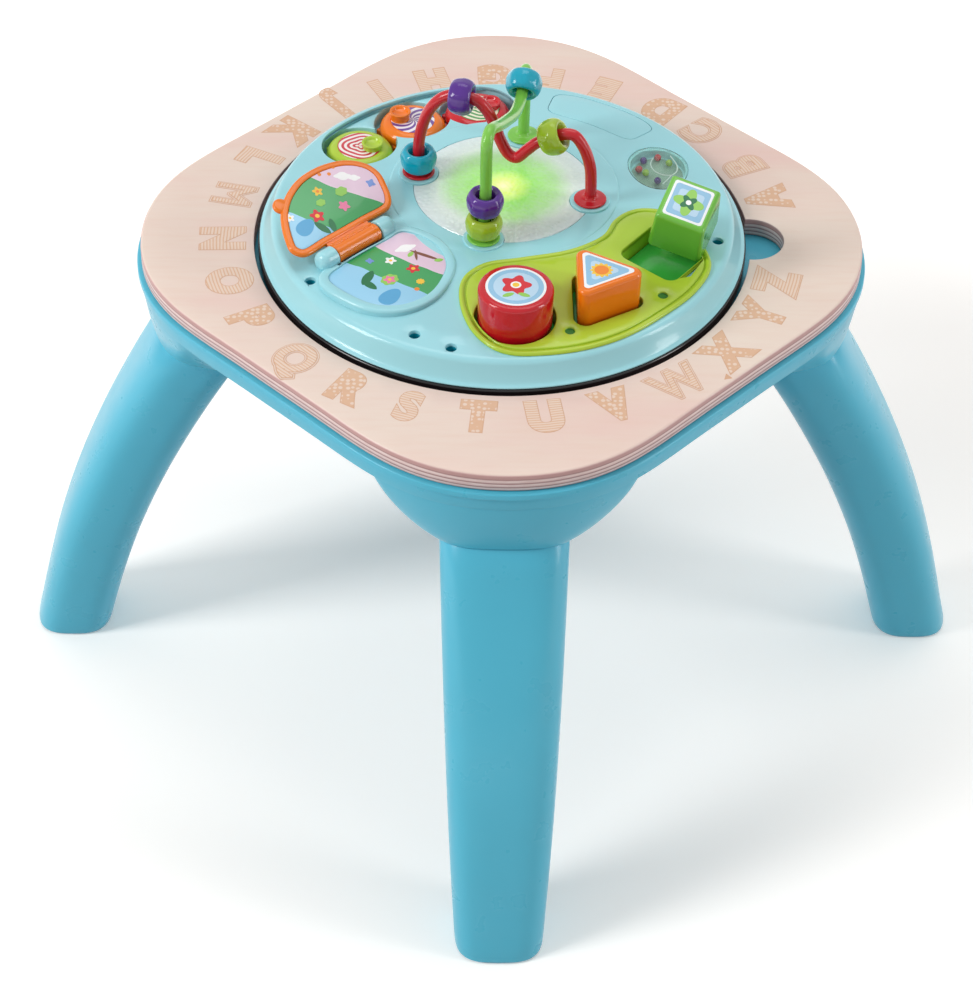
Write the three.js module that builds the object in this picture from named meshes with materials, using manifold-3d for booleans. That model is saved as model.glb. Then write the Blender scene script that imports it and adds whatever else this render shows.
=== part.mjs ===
// A toddler's activity table. A rounded plywood top sits on a moulded frame with four bowed legs, and a round play
// panel lifts out of its middle. The panel carries a bead maze over a light, three gears in mesh, a page that turns,
// a tray with three shape blocks and a window with loose balls.
// Millimetres, +Z up. The origin is on the floor under the middle of the top, and the front leg is towards -Y.

import * as THREE from 'three';
import { mergeVertices } from 'three/addons/utils/BufferGeometryUtils.js';
import Module from 'manifold-3d';

const wasm = await Module();
wasm.setup();

// Clearances and the fineness of curves.
const gap = 0.3; // between parts that touch
const slack = 0.6; // round a part that slides
const overrun = 6; // how far a cutter runs past what it cuts
const degree = Math.PI / 180;
const roundSides = 24;
const mediumSides = 16;
const smallSides = 12;
const postSides = 8;
const screwSides = 6;
const roundSteps = 3; // facets in a quarter of a rounded edge
const flatness = 0.02; // facets that lie nearer to one plane than this become one
const halvings = 20; // tries at the share of the leg's curve where the collar ends

// The top: distance from the middle to a corner, height above the floor, and the shape of its rounded square.
const table = { reach: 240, height: 347.9 };
const outlineShares = { mean: 0.9306, corner: 0.0717, flat: -0.0023 };
const outlineSides = 44;
const ply = { thickness: 13.2, edge: 1.4, hole: 164.8 };
const notch = { depth: 22.9, halfWidth: 22, azimuth: -0.7 * degree };

// The frame under the top: a deck with a lip, a skirt, a well for the panel and a bowl over each leg.
const frame = {
  lipProud: 3, lipHeight: 5, skirtProud: 1, skirtHeight: 14.4, wall: 3, deck: 3, wellDepth: 22.7, wellFloor: 3,
  wellRoom: 1, ribWidth: 2.4, ribHeight: 9, ribSpread: 13 * degree,
};
const bowl = {
  centre: 170, halfWidth: 91, inner: 44, outer: 90, height: 13, step: 0.6, roundness: 1.35, rings: 5,
};

// A leg: where its curve starts and ends, how far it leans there, and its oval section.
const leg = {
  startDrop: 32.9, startReach: 181.7, footReach: 309.3, startLean: 32.6 * degree, footLean: 14.5 * degree,
  startHandle: 177.2, footHandle: 68.7, squareness: 2.5, wall: 3, sides: 12, rings: 5,
};
const legShares = { spigotEnd: 0.05, overrun: 0.05, boreEnd: 0.03, hollow: [0.35, 0.67, 0.99] };
const legSection = { radialTop: 29.4, radialFoot: 26, sideTop: 41.5, sideFoot: 29.5 };
const collar = { drop: 64.8, reach: 201, slope: 16.2 * degree, proud: 0.8, wall: 3, fit: 0.4 };
const legNames = ['front', 'right', 'back', 'left'];
const legAzimuths = { front: -90 * degree, right: 0, back: 90 * degree, left: 180 * degree };
const screw = { shank: 2, head: 4, headHeight: 2.6, grip: 12, placeShare: 0.075 };
const topScrew = { shank: 1.8, head: 4, headHeight: 2.4, bite: 9.5, reach: 186 };

// The play panel: a domed housing with a rounded shoulder, a thin flange, a skirt and a dished base.
const panel = {
  domeRadius: 150, domeRise: 6, domeAboveTop: 24.1, shoulder: 5.5, shoulderReach: 148.5, sideFoot: 159,
  flangeReach: 161, flangeAboveTop: 2.9, flange: 1.2, skirtReach: 158.2, wall: 2.5,
};
const base = { radius: 149, wall: 2.5, rimReach: 155.4, postRadius: 3 };
const trim = { thickness: 3.5, edge: 1.2 };
const shoulderAngles = { outer: [90, 50, 12], inner: [90, 12] };
const domeStationShares = { outer: [0, 0.55], inner: [0] };
const holes = { radius: 2.3 };
const holeShares = [[-0.846, -0.498], [-0.383, -0.852], [-0.236, -0.96], [0.937, -0.19], [-0.798, 0.447]];

// The light under the bead maze.
const maze = { x: 1, y: 22, arm: 58.8, boss: 13.3, bossRise: 1.4, plateau: 77, plateauSink: 0.8, edge: 1.6 };
const lens = { radius: 60, ledge: 4, thickness: 2, crown: 1.2, stationShare: 0.5 };
const light = { radius: 34, thickness: 1.6, ledRing: 16, led: 4, leds: 4, below: 14, posts: 4 };
const wire = { radius: 3.9, sides: 8, steps: 30, flange: 10.8, flangeHeight: 2.2, rootDepth: 8, bite: 0.3 };
// Each run as shares: along the arm, up the rise, and sideways as a share of the arm.
const redRunShares = [
  [-1, 0, 0], [-1, 0.24, 0], [-0.985, 0.45, 0], [-0.885, 0.76, 0], [-0.74, 0.94, 0], [-0.605, 1, 0],
  [-0.345, 0.985, 0], [-0.22, 0.885, 0], [-0.13, 0.735, 0], [-0.05, 0.545, 0], [0.045, 0.4, 0], [0.13, 0.37, 0],
  [0.255, 0.485, 0], [0.385, 0.605, 0], [0.69, 0.75, 0], [0.79, 0.745, 0], [0.9, 0.62, 0], [0.98, 0.41, 0],
  [1, 0.21, 0], [1, 0, 0],
];
const redWire = { azimuth: -14.8 * degree, rise: 66, shares: redRunShares };
const greenRunShares = [
  [-1, 0, 0], [-1, 0.1, 0], [-1, 0.5, 0.015], [-1, 0.84, 0.015], [-0.975, 0.95, 0.013], [-0.87, 1, 0.015],
  [-0.73, 0.965, 0.027], [-0.54, 0.892, 0.04], [-0.2, 0.777, 0.061], [0.1, 0.69, 0.075], [0.34, 0.657, 0.07],
  [0.49, 0.667, 0.065], [0.61, 0.7, 0.06], [0.74, 0.755, 0.053], [0.85, 0.76, 0.035], [0.95, 0.69, 0.015],
  [1, 0.57, 0.005], [1, 0.2, 0], [1, 0, 0],
];
const greenWire = { azimuth: 76 * degree, rise: 79, shares: greenRunShares };

// Beads, each with its wire and its share of the way along it from the left or front boss.
const bead = { radius: 12.5, halfWidth: 8.5, bore: 5, hang: 0.4, reach: 6, rings: 6 };
const beadPlaces = [
  { name: 'bead_teal_left', wire: redWire, share: 0.073, colour: 'teal' },
  { name: 'bead_purple_top', wire: redWire, share: 0.343, colour: 'purple' },
  { name: 'bead_lime_right', wire: redWire, share: 0.707, colour: 'lime' },
  { name: 'bead_teal_top', wire: greenWire, share: 0.69, colour: 'teal' },
  { name: 'bead_lime_front', wire: greenWire, share: 0.07, colour: 'lime' },
  { name: 'bead_purple_front', wire: greenWire, share: 0.136, colour: 'purple' },
];

// Three gears in mesh, on an arc round the back left of the panel.
const gear = {
  teeth: 12, orbit: 122.3, spread: 22.3 * degree, middle: 119.5 * degree, tip: 25, root: 21.5, toothHeight: 4.8,
  sharpness: 1.6, skirt: 22.7, flat: 15.4, height: 13, phase: 119.5 * degree, neck: 0.7, post: 3, postHeight: 9,
  perTooth: 4,
};
const gearBay = { clearance: 0.8, edge: 149 };
const knob = { radius: 7.3, foot: 6.2, dish: 5.4, dishDepth: 2.6, reach: 8.8, height: 6.5, lowHeight: 4.5 };
const knobShares = { rim: 0.67, dishSpan: 0.5, dishDrop: 0.8 };
const gears = [
  { name: 'gear_red', step: -1, knobAzimuth: 15 * degree, knobHeight: knob.lowHeight, colour: 'red' },
  { name: 'gear_orange', step: 0, knobAzimuth: 170 * degree, knobHeight: knob.height, colour: 'orange' },
  { name: 'gear_green', step: 1, knobAzimuth: -10 * degree, knobHeight: knob.lowHeight, colour: 'lime' },
];

// The book: a raised pad with a picture recess, two hinge ears, and a framed page that turns over them.
const book = { x: -96.5, y: -42.6, azimuth: 44 * degree, axisAboveTop: 25.1, rest: 22 * degree };
const pad = { halfWidth: 39, depth: 70, border: 6.5, top: 23.9, recess: 1.2, thickness: 7.5, sides: 20 };
const padShares = [
  [-0.5, -0.13], [0.48, -0.13], [0.87, -0.16], [1, -0.46], [0.82, -0.74], [0.45, -0.9], [-0.08, -0.99],
  [-0.62, -0.9], [-0.89, -0.69], [-0.95, -0.22],
];
const page = {
  halfWidth: 51.5, depth: 60, thickness: 4, border: 4.6, ledge: 1.8, rebate: 2.2, barrel: 6, barrelHalf: 18.5,
  tab: 5.5, sides: 28,
};
const pageShares = [
  [-0.3, 0.15], [-0.72, 0.16], [-0.81, 0.28], [-0.76, 0.43], [-0.6, 0.67], [-0.39, 0.84], [-0.06, 0.97], [0.23, 1],
  [0.47, 0.98], [0.7, 0.92], [0.87, 0.82], [0.97, 0.7], [1, 0.56], [0.95, 0.4], [0.88, 0.26], [0.76, 0.16],
  [0.3, 0.15],
];
const tabShares = { along: -0.47, away: 0.8 };
const ear = { radius: 7, length: 13, round: 5, pin: 1.5 };

// The tray of sockets and its blocks.
const tray = {
  thickness: 2, orbit: 114, cupWall: 1.8, floorAboveTop: 12.1, key: 2, travel: 2, ledge: 3, stem: 3, sides: 36,
};
const trayShares = [
  [-0.195, -0.654], [-0.18, -0.51], [-0.092, -0.415], [0.075, -0.372], [0.253, -0.325], [0.343, -0.28],
  [0.435, -0.203], [0.483, -0.099], [0.549, -0.029], [0.623, -0.001], [0.74, -0.02], [0.83, -0.11], [0.875, -0.25],
  [0.896, -0.379], [0.823, -0.548], [0.675, -0.717], [0.495, -0.868], [0.32, -0.95], [0.149, -0.985],
  [0.021, -0.985], [-0.063, -0.945], [-0.148, -0.833],
];
const trayHoleShares = [[0.269, -0.843], [0.673, -0.598]];
const blockHeight = 34;
const block = { edge: 1.2, crown: 3, crownShare: 0.3, flare: 0.5, draft: -1.8, cubeHeight: 36, sides: 12 };
const sockets = [
  { name: 'round', corners: 0, half: 23.6, corner: 0, room: 2.4, azimuth: -87 * degree, turn: 0, colour: 'red' },
  { name: 'triangle', corners: 3, half: 15, corner: 5, room: 2.4, azimuth: -58 * degree, turn: 0, colour: 'orange' },
  { name: 'square', corners: 4, half: 18.65, corner: 4, room: 3, azimuth: -24.4 * degree, turn: 7 * degree,
    colour: 'green' },
];
// The square block leans on the rim of its socket, ready to drop in.
const lean = { x: 116.9, y: -29.8, aboveTop: 27.4, axis: [0.71, -0.101, 0.697], angle: 32.5 * degree };

// The window with loose balls, and the plain plate at the back.
const rattle = { x: 105.5, y: 49.5, halfX: 20.5, halfY: 25, egg: 0.06, cup: 2, floorAboveTop: 11.6, glass: 1.6 };
const rattleBall = { radius: 2.4, rings: 4, reachShare: 0.85 };
const ballShares = [[0.05, 0.9], [-0.43, 0.74], [0.41, 0.62], [-0.6, 0.27], [-0.39, 0.08], [-0.02, -0.33]];
const ballColours = ['red', 'purple', 'lime', 'red', 'lime', 'purple'];
const plate = {
  azimuth: 58.5 * degree, spread: 16 * degree, radius: 131.5, halfDepth: 14.5, thickness: 1, square: 5,
};

// What works inside: batteries, boards, loudspeaker and switch.
const battery = { radius: 7.1, length: 50, pitch: 15, x: 0, y: 20, count: 3, cap: 2.4 };
const bay = { wall: 2, room: 0.8 };
const door = { thickness: 2, margin: 5 };
const speaker = { x: -72, y: 62, radius: 25, height: 14, magnet: 13, rim: 2.5, grille: 2.2, grilleRing: 12,
  grilleHoles: 6 };
const keyBoard = { thickness: 1.6, halfDepth: 16, from: -98 * degree, to: -12 * degree, below: 2.6, posts: 4 };
const slider = { x: 70, y: 60, knob: 8, stem: 3.4, travel: 4, roof: 2, recess: 3.4, head: 6.5, headHeight: 1.6 };

// Heights that the sizes above give.
const deckTop = table.height - ply.thickness - gap;
const wellTop = deckTop - frame.wellDepth;
const wellFoot = wellTop - frame.wellFloor;
const wellRadius = base.radius + frame.wellRoom;
const baseBottom = wellTop + gap;
const panelFoot = deckTop + gap;
const domeTop = table.height + panel.domeAboveTop;
const flangeTop = table.height + panel.flangeAboveTop;
const baseFloorTop = baseBottom + base.wall;
const padTop = table.height + pad.top;
const bookAxis = table.height + book.axisAboveTop;
const gearTop = domeTop - panel.domeRise;
const gearFoot = gearTop - gear.height;
const keyTop = table.height + tray.floorAboveTop;
const cupLedge = keyTop - tray.key - tray.travel - gap;
const cupBottom = cupLedge - tray.cupWall;
const keyBoardTop = cupBottom - keyBoard.below;
const rattleFloor = table.height + rattle.floorAboveTop;

const finishes = {
  wood: finish(0xecd6c6, 0.55),
  frame: finish(0x5ab4cd, 0.38),
  panel: finish(0xaae1e6, 0.3),
  black: finish(0x0b0b0d, 0.12),
  lime: finish(0xafcd37, 0.28),
  red: finish(0xcd1928, 0.2),
  orange: finish(0xf08219, 0.25),
  green: finish(0x6eb941, 0.22),
  purple: finish(0x55288c, 0.2),
  teal: finish(0x00a5be, 0.2),
  wireRed: finish(0xc81e28, 0.3),
  wireGreen: finish(0x7dc34b, 0.3),
  lens: finish(0xe8f5ec, 0.2),
  clear: finish(0xdfe9ea, 0.08),
  card: finish(0x8cc8e6, 0.4),
  steel: finish(0xc8ccd0, 0.3, 1),
  board: finish(0x1f6b3c, 0.5),
  dark: finish(0x2a2c30, 0.5),
  battery: finish(0xb9bdc2, 0.35, 0.4),
};

function finish(color, roughness, metalness = 0) {
  return new THREE.MeshStandardMaterial({ color, roughness, metalness });
}

// Turns a three.js geometry into a solid, with its faces pointing out.
function solid(geometry) {
  const bare = geometry.clone();
  bare.deleteAttribute('normal');
  bare.deleteAttribute('uv');
  const merged = mergeVertices(bare);
  const vertProperties = merged.attributes.position.array;
  const at = (i) => new THREE.Vector3().fromArray(vertProperties, i * 3);
  const faces = [];
  let volume = 0;
  for (let i = 0; i < merged.index.count; i += 3) {
    const [a, b, c] = merged.index.array.slice(i, i + 3);
    if (a === b || b === c || c === a) continue;
    faces.push([a, b, c]);
    volume += at(a).dot(at(b).cross(at(c)));
  }
  const facing = volume < 0 ? faces.map(([a, b, c]) => [a, c, b]) : faces;
  const triVerts = Uint32Array.from(facing.flat());
  return new wasm.Manifold(new wasm.Mesh({ numProp: 3, vertProperties, triVerts }));
}

function meshOf(name, shape, material) {
  const made = shape.asOriginal().simplify(flatness).getMesh();
  const geometry = new THREE.BufferGeometry();
  geometry.setAttribute('position', new THREE.BufferAttribute(made.vertProperties, made.numProp));
  geometry.setIndex(new THREE.BufferAttribute(made.triVerts, 1));
  const flat = geometry.toNonIndexed();
  flat.computeVertexNormals();
  const mesh = new THREE.Mesh(flat, material);
  mesh.name = name;
  return mesh;
}

const joined = (shapes) => shapes.reduce((sum, shape) => sum.add(shape));
const without = (shape, cutters) => cutters.reduce((rest, cutter) => rest.subtract(cutter), shape);
const polar = (radius, azimuth, z = 0) => new THREE.Vector3(
  radius * Math.cos(azimuth), radius * Math.sin(azimuth), z);
const steps = (count) => Array.from({ length: count }, (_, i) => i);
const power = (value, exponent) => Math.sign(value) * Math.abs(value) ** exponent;

// A solid of revolution about the Z axis through x, y, from its profile of radius and height.
function turned(profile, { x = 0, y = 0, sides = roundSides } = {}) {
  const closed = profile[0][0] === 0 ? profile : [...profile, profile[0]];
  const points = closed.map(([radius, z]) => new THREE.Vector2(radius, z));
  return solid(new THREE.LatheGeometry(points, sides).rotateX(Math.PI / 2).translate(x, y, 0));
}

function disc(radius, low, high, options = {}) {
  return turned([[0, low], [radius, low], [radius, high], [0, high]], options);
}

function ball(radius, centre, rings) {
  const geometry = new THREE.SphereGeometry(radius, 2 * rings, rings);
  return solid(geometry.translate(centre.x, centre.y, centre.z));
}

function box(low, high) {
  const size = new THREE.Vector3().subVectors(high, low);
  const middle = new THREE.Vector3().addVectors(low, high).multiplyScalar(0.5);
  return solid(new THREE.BoxGeometry(size.x, size.y, size.z).translate(middle.x, middle.y, middle.z));
}

// A flat outline pushed straight up from one height to another.
function prism(points, low, high, matrix = new THREE.Matrix4()) {
  const shape = new THREE.Shape(points.map((p) => new THREE.Vector2(p.x, p.y)));
  const geometry = new THREE.ExtrudeGeometry(shape, { depth: high - low, bevelEnabled: false });
  return solid(geometry.translate(0, 0, low).applyMatrix4(matrix));
}

// Skins a row of rings, each with as many points as the next, and closes both ends.
function loft(rings) {
  const sides = rings[0].length;
  const last = (rings.length - 1) * sides;
  const faces = [];
  for (let i = 0; i < last; i += sides) {
    for (let j = 0; j < sides; j += 1) {
      const next = (j + 1) % sides;
      faces.push(i + j, i + next, i + next + sides, i + j, i + next + sides, i + j + sides);
    }
  }
  for (let j = 1; j < sides - 1; j += 1) {
    faces.push(0, j + 1, j, last, last + j, last + j + 1);
  }
  const geometry = new THREE.BufferGeometry().setFromPoints(rings.flat());
  geometry.setIndex(faces);
  return solid(geometry);
}

const circle = (radius, sides = smallSides, x = 0, y = 0) => steps(sides).map((i) => {
  const angle = (2 * Math.PI * i) / sides;
  return new THREE.Vector3(x + radius * Math.cos(angle), y + radius * Math.sin(angle), 0);
});

// A smooth closed line through points, given as shares of a width and a depth.
function smoothLine(shares, width, depth, count) {
  const points = shares.map(([x, y]) => new THREE.Vector3(x * width, y * depth, 0));
  return new THREE.CatmullRomCurve3(points, true, 'centripetal').getPoints(count).slice(0, -1);
}

// Moves each point of an anticlockwise outline outwards by the same distance.
function grown(points, distance) {
  const area = points.reduce((sum, p, i) => {
    const q = points[(i + 1) % points.length];
    return sum + p.x * q.y - q.x * p.y;
  }, 0);
  return points.map((p, i) => {
    const before = points[(i + points.length - 1) % points.length];
    const after = points[(i + 1) % points.length];
    const along = new THREE.Vector3().subVectors(after, before).normalize();
    const out = new THREE.Vector3(along.y, -along.x, 0).multiplyScalar(distance * Math.sign(area));
    return p.clone().add(out);
  });
}

// The rounded square of the top, moved outwards by an amount.
function outlineRadius(angle, proud = 0) {
  const { mean, corner, flat } = outlineShares;
  return table.reach * (mean + corner * Math.cos(4 * angle) + flat * Math.cos(12 * angle)) + proud;
}

function outline(proud) {
  return steps(outlineSides).map((i) => {
    const angle = (2 * Math.PI * i) / outlineSides;
    return polar(outlineRadius(angle, proud), angle);
  });
}

// The panel's crowned surface, raised or sunk by an offset, as a solid down to the deck.
const domeHeight = (radius) => domeTop - panel.domeRise * (radius / panel.domeRadius) ** 2;

function dome(offset) {
  const rim = panel.flangeReach;
  const crown = [...domeStationShares.outer, 1].map((share) => panel.domeRadius * share);
  const points = crown.reverse().map((radius) => [radius, domeHeight(radius) + offset]);
  return turned([[0, deckTop], [rim, deckTop], [rim, domeHeight(rim) + offset], ...points]);
}

// A plate that follows the dome between two offsets inside an outline.
function domed(points, low, high) {
  const blank = prism(points, deckTop, domeTop + overrun);
  return blank.intersect(dome(high)).subtract(dome(low));
}

// Everything above an offset of the dome inside an outline, for cutting.
function aboveDome(points, offset) {
  return prism(points, deckTop, domeTop + overrun).subtract(dome(offset));
}

// The top, with its hole and the finger notch that the panel is lifted by.
function makeTabletop() {
  const rings = [
    [-ply.edge, 0], [0, ply.edge], [0, ply.thickness - ply.edge], [-ply.edge, ply.thickness],
  ].map(([proud, up]) => outline(proud).map((p) => p.setZ(table.height - ply.thickness + up)));
  const notchCentre = polar(ply.hole + notch.depth - notch.halfWidth, notch.azimuth);
  const inner = polar(notch.halfWidth, notch.azimuth + Math.PI / 2);
  const arc = steps(smallSides + 1).map((i) => {
    const angle = notch.azimuth + Math.PI * (i / smallSides - 0.5);
    return polar(notch.halfWidth, angle).add(notchCentre);
  });
  const mouth = polar(ply.hole - overrun, notch.azimuth);
  const slot = [...arc, mouth.clone().add(inner), mouth.clone().sub(inner)];
  const [low, high] = [table.height - ply.thickness - overrun, table.height + overrun];
  const screws = legNames.map((name) => topScrewShape(name, gap));
  return without(loft(rings), [disc(ply.hole, low, high), prism(slot, low, high), ...screws]);
}

// The leg's centre line in its radial plane, with x as the reach and z as the height.
const legCurve = new THREE.CubicBezierCurve3(
  new THREE.Vector3(leg.startReach, 0, deckTop - leg.startDrop),
  new THREE.Vector3(
    leg.startReach + leg.startHandle * Math.sin(leg.startLean), 0,
    deckTop - leg.startDrop - leg.startHandle * Math.cos(leg.startLean)),
  new THREE.Vector3(
    leg.footReach - leg.footHandle * Math.sin(leg.footLean), 0, leg.footHandle * Math.cos(leg.footLean)),
  new THREE.Vector3(leg.footReach, 0, 0));

const collarPoint = new THREE.Vector3(collar.reach, 0, deckTop - collar.drop);
const collarNormal = new THREE.Vector3(-Math.sin(collar.slope), 0, Math.cos(collar.slope));

// The share of the curve at which the leg leaves its collar.
const collarShare = steps(halvings).reduce(([low, high]) => {
  const middle = (low + high) / 2;
  const above = legCurve.getPoint(middle).sub(collarPoint).dot(collarNormal) > 0;
  return above ? [middle, high] : [low, middle];
}, [0, 1])[0];

// One ring of the leg's section, taken in by an inset. Shares past either end run on straight.
function legRing(share, inset, sides = leg.sides) {
  const held = Math.min(Math.max(share, 0), 1);
  const along = legCurve.getTangent(held);
  const centre = legCurve.getPoint(held).addScaledVector(along, (share - held) * legCurve.getLength());
  const across = new THREE.Vector3(-along.z, 0, along.x);
  const taper = Math.max(0, (held - collarShare) / (1 - collarShare));
  const radial = THREE.MathUtils.lerp(legSection.radialTop, legSection.radialFoot, taper) - inset;
  const side = THREE.MathUtils.lerp(legSection.sideTop, legSection.sideFoot, taper) - inset;
  return steps(sides).map((i) => {
    const angle = (2 * Math.PI * i) / sides;
    const point = centre.clone().addScaledVector(across, radial * power(Math.cos(angle), 2 / leg.squareness));
    return point.setY(side * power(Math.sin(angle), 2 / leg.squareness));
  });
}

const legLoft = (shares, inset, sides) => loft(shares.map((share) => legRing(share, inset, sides)));
const spigotInset = collar.wall + collar.fit + gap;
const spigotEnd = collarShare + legShares.spigotEnd;
const legScrewShare = (collarShare * (1 - screw.placeShare)) / 2;

// A half space as a large block, below or above a tilted plane across the leg.
function beyondCollar(offset, up) {
  const size = table.reach;
  const slab = new THREE.BoxGeometry(size, size, size).translate(0, 0, up ? size / 2 : -size / 2);
  const middle = collarPoint.clone().addScaledVector(collarNormal, offset);
  return solid(slab.rotateY(-collar.slope).translate(middle.x, middle.y, middle.z));
}

// A leg in its radial plane: a bowed hollow tube with a narrower spigot that pushes up into the collar.
function makeLeg(name) {
  const below = steps(leg.rings + 1).map((i) => THREE.MathUtils.lerp(
    collarShare - legShares.overrun, 1 + legShares.overrun, i / leg.rings));
  const tube = legLoft(below, 0).subtract(beyondCollar(-gap, true));
  const spigot = legLoft([0, spigotEnd], spigotInset).subtract(beyondCollar(-leg.wall, false));
  const hollow = loft([
    ...[-legShares.overrun, collarShare].map((share) => legRing(share, spigotInset + leg.wall, smallSides)),
    ...legShares.hollow.map((share) => legRing(share, leg.wall, smallSides))]);
  const floor = box(
    new THREE.Vector3(0, -table.reach, -table.reach), new THREE.Vector3(2 * table.reach, table.reach, 0));
  const sole = box(
    new THREE.Vector3(0, -table.reach, -table.reach), new THREE.Vector3(2 * table.reach, table.reach, leg.wall));
  return aimed(without(tube.add(spigot), [hollow.subtract(sole), floor, legScrewShape(gap)]), name);
}

// Turns a shape made in the +X radial plane round to the leg's own corner.
function aimed(shape, name) {
  const mesh = meshOf(name, shape);
  return solid(mesh.geometry.rotateZ(legAzimuths[name]));
}

// A screw through the inner side of the collar into the spigot, grown by a clearance.
function legScrewShape(room) {
  const along = legCurve.getTangent(legScrewShare);
  const inward = new THREE.Vector3(along.z, 0, -along.x);
  const start = legCurve.getPoint(legScrewShare).addScaledVector(inward, legSection.radialTop - collar.wall);
  const length = screw.grip + room;
  const shape = new THREE.LatheGeometry([
    new THREE.Vector2(0, -length), new THREE.Vector2(screw.shank + room, -length),
    new THREE.Vector2(screw.shank + room, collar.wall + gap - room),
    new THREE.Vector2(screw.head + room, collar.wall + gap - room),
    new THREE.Vector2(screw.head + room, collar.wall + gap + screw.headHeight + room),
    new THREE.Vector2(0, collar.wall + gap + screw.headHeight + room),
  ], screwSides);
  const turn = new THREE.Quaternion().setFromUnitVectors(new THREE.Vector3(0, 1, 0), inward);
  return solid(shape.applyQuaternion(turn).translate(start.x, start.y, start.z));
}

function topScrewShape(name, room) {
  const spot = polar(topScrew.reach, legAzimuths[name] + Math.PI / 4);
  const headTop = deckTop - frame.deck - gap;
  return turned([
    [0, headTop - topScrew.headHeight - room], [topScrew.head + room, headTop - topScrew.headHeight - room],
    [topScrew.head + room, headTop], [topScrew.shank + room, headTop],
    [topScrew.shank + room, deckTop + topScrew.bite + room], [0, deckTop + topScrew.bite + room],
  ], { x: spot.x, y: spot.y, sides: screwSides });
}

// The bowl over a leg: its rim follows the table's outline and it draws in to the collar.
function bowlLoft(inset, rimHeight) {
  const along = legCurve.getTangent(collarShare);
  const collarRing = legRing(collarShare, inset - collar.proud).map((p) => {
    const slide = p.clone().sub(collarPoint).dot(collarNormal) / along.dot(collarNormal);
    return p.clone().addScaledVector(along, -slide);
  });
  const rim = collarRing.map((_, i) => {
    const angle = (2 * Math.PI * i) / leg.sides;
    const reach = Math.cos(angle) > 0 ? bowl.outer : bowl.inner;
    const point = new THREE.Vector3(
      bowl.centre + (reach - inset) * Math.cos(angle), (bowl.halfWidth - inset) * Math.sin(angle), 0);
    const azimuth = Math.atan2(point.y, point.x);
    const limit = outlineRadius(azimuth, frame.skirtProud - bowl.step - inset);
    return point.length() > limit ? polar(limit, azimuth) : point;
  });
  const rimLevel = deckTop - bowl.height;
  const rings = steps(bowl.rings).map((k) => {
    const angle = (Math.PI / 2) * (k / (bowl.rings - 1));
    const wide = Math.cos(angle) ** (2 / bowl.roundness);
    const deep = Math.sin(angle) ** (2 / bowl.roundness);
    return rim.map((p, i) => {
      const foot = collarRing[i];
      return new THREE.Vector3(
        THREE.MathUtils.lerp(foot.x, p.x, wide), THREE.MathUtils.lerp(foot.y, p.y, wide),
        THREE.MathUtils.lerp(rimLevel, foot.z, deep));
    });
  });
  return loft([rim.map((p) => p.clone().setZ(rimHeight)), ...rings]);
}

// The frame: a deck with a lip and a skirt, a ring wall round the well, ribs, and a bowl with a bore for each leg.
function makeFrame() {
  const lipFoot = deckTop - frame.lipHeight;
  const skirtFoot = deckTop - frame.skirtHeight;
  const deckFoot = deckTop - frame.deck;
  const wellBlock = disc(wellRadius + frame.wall, wellFoot, deckTop);
  const bowls = legNames.map((name) => aimed(bowlLoft(0, deckFoot), name));
  const bores = legNames.map((name) => aimed(
    legLoft([-legShares.boreEnd, 0, spigotEnd, spigotEnd + legShares.overrun], spigotInset - collar.fit), name));
  const outside = joined([
    prism(outline(frame.lipProud), lipFoot, deckTop), prism(outline(frame.skirtProud), skirtFoot, lipFoot + gap),
    wellBlock, ...bowls,
  ]);
  const under = without(prism(outline(frame.skirtProud - frame.wall), skirtFoot - overrun, deckFoot), [
    wellBlock, ...bowls]);
  const ribs = legNames.flatMap((name) => [-1, 1].map((side) => rib(name, side, deckFoot)));
  const screws = legNames.flatMap((name) => [
    aimed(legScrewShape(gap), name), aimed(legScrewAccess(), name), topScrewShape(name, gap)]);
  const open = without(outside, [under, disc(wellRadius, wellFoot - gap, deckTop + overrun)]);
  return without(joined([open, ...ribs]), [...bores, ...screws]);
}

// The floor of the well, a disc let into the ring wall.
function makeWellFloor() {
  return disc(wellRadius - gap, wellFoot, wellTop);
}

// The way in for the leg screw's driver, through the side of the bowl.
function legScrewAccess() {
  const along = legCurve.getTangent(legScrewShare);
  const inward = new THREE.Vector3(along.z, 0, -along.x);
  const reach = legSection.radialTop + gap;
  const start = legCurve.getPoint(legScrewShare).addScaledVector(inward, reach + bowl.inner / 2);
  const shape = new THREE.CylinderGeometry(screw.head + gap, screw.head + gap, bowl.inner, screwSides);
  const turn = new THREE.Quaternion().setFromUnitVectors(new THREE.Vector3(0, 1, 0), inward);
  return solid(shape.applyQuaternion(turn).translate(start.x, start.y, start.z));
}

function rib(name, side, top) {
  const azimuth = legAzimuths[name] + Math.PI / 4 + side * frame.ribSpread;
  const from = wellRadius + frame.wall / 2;
  const to = outlineRadius(azimuth, frame.skirtProud) - frame.wall / 2;
  const shape = new THREE.BoxGeometry(to - from, frame.ribWidth, frame.ribHeight);
  return solid(shape.translate((from + to) / 2, 0, top - frame.ribHeight / 2 + gap).rotateZ(azimuth));
}

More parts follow.
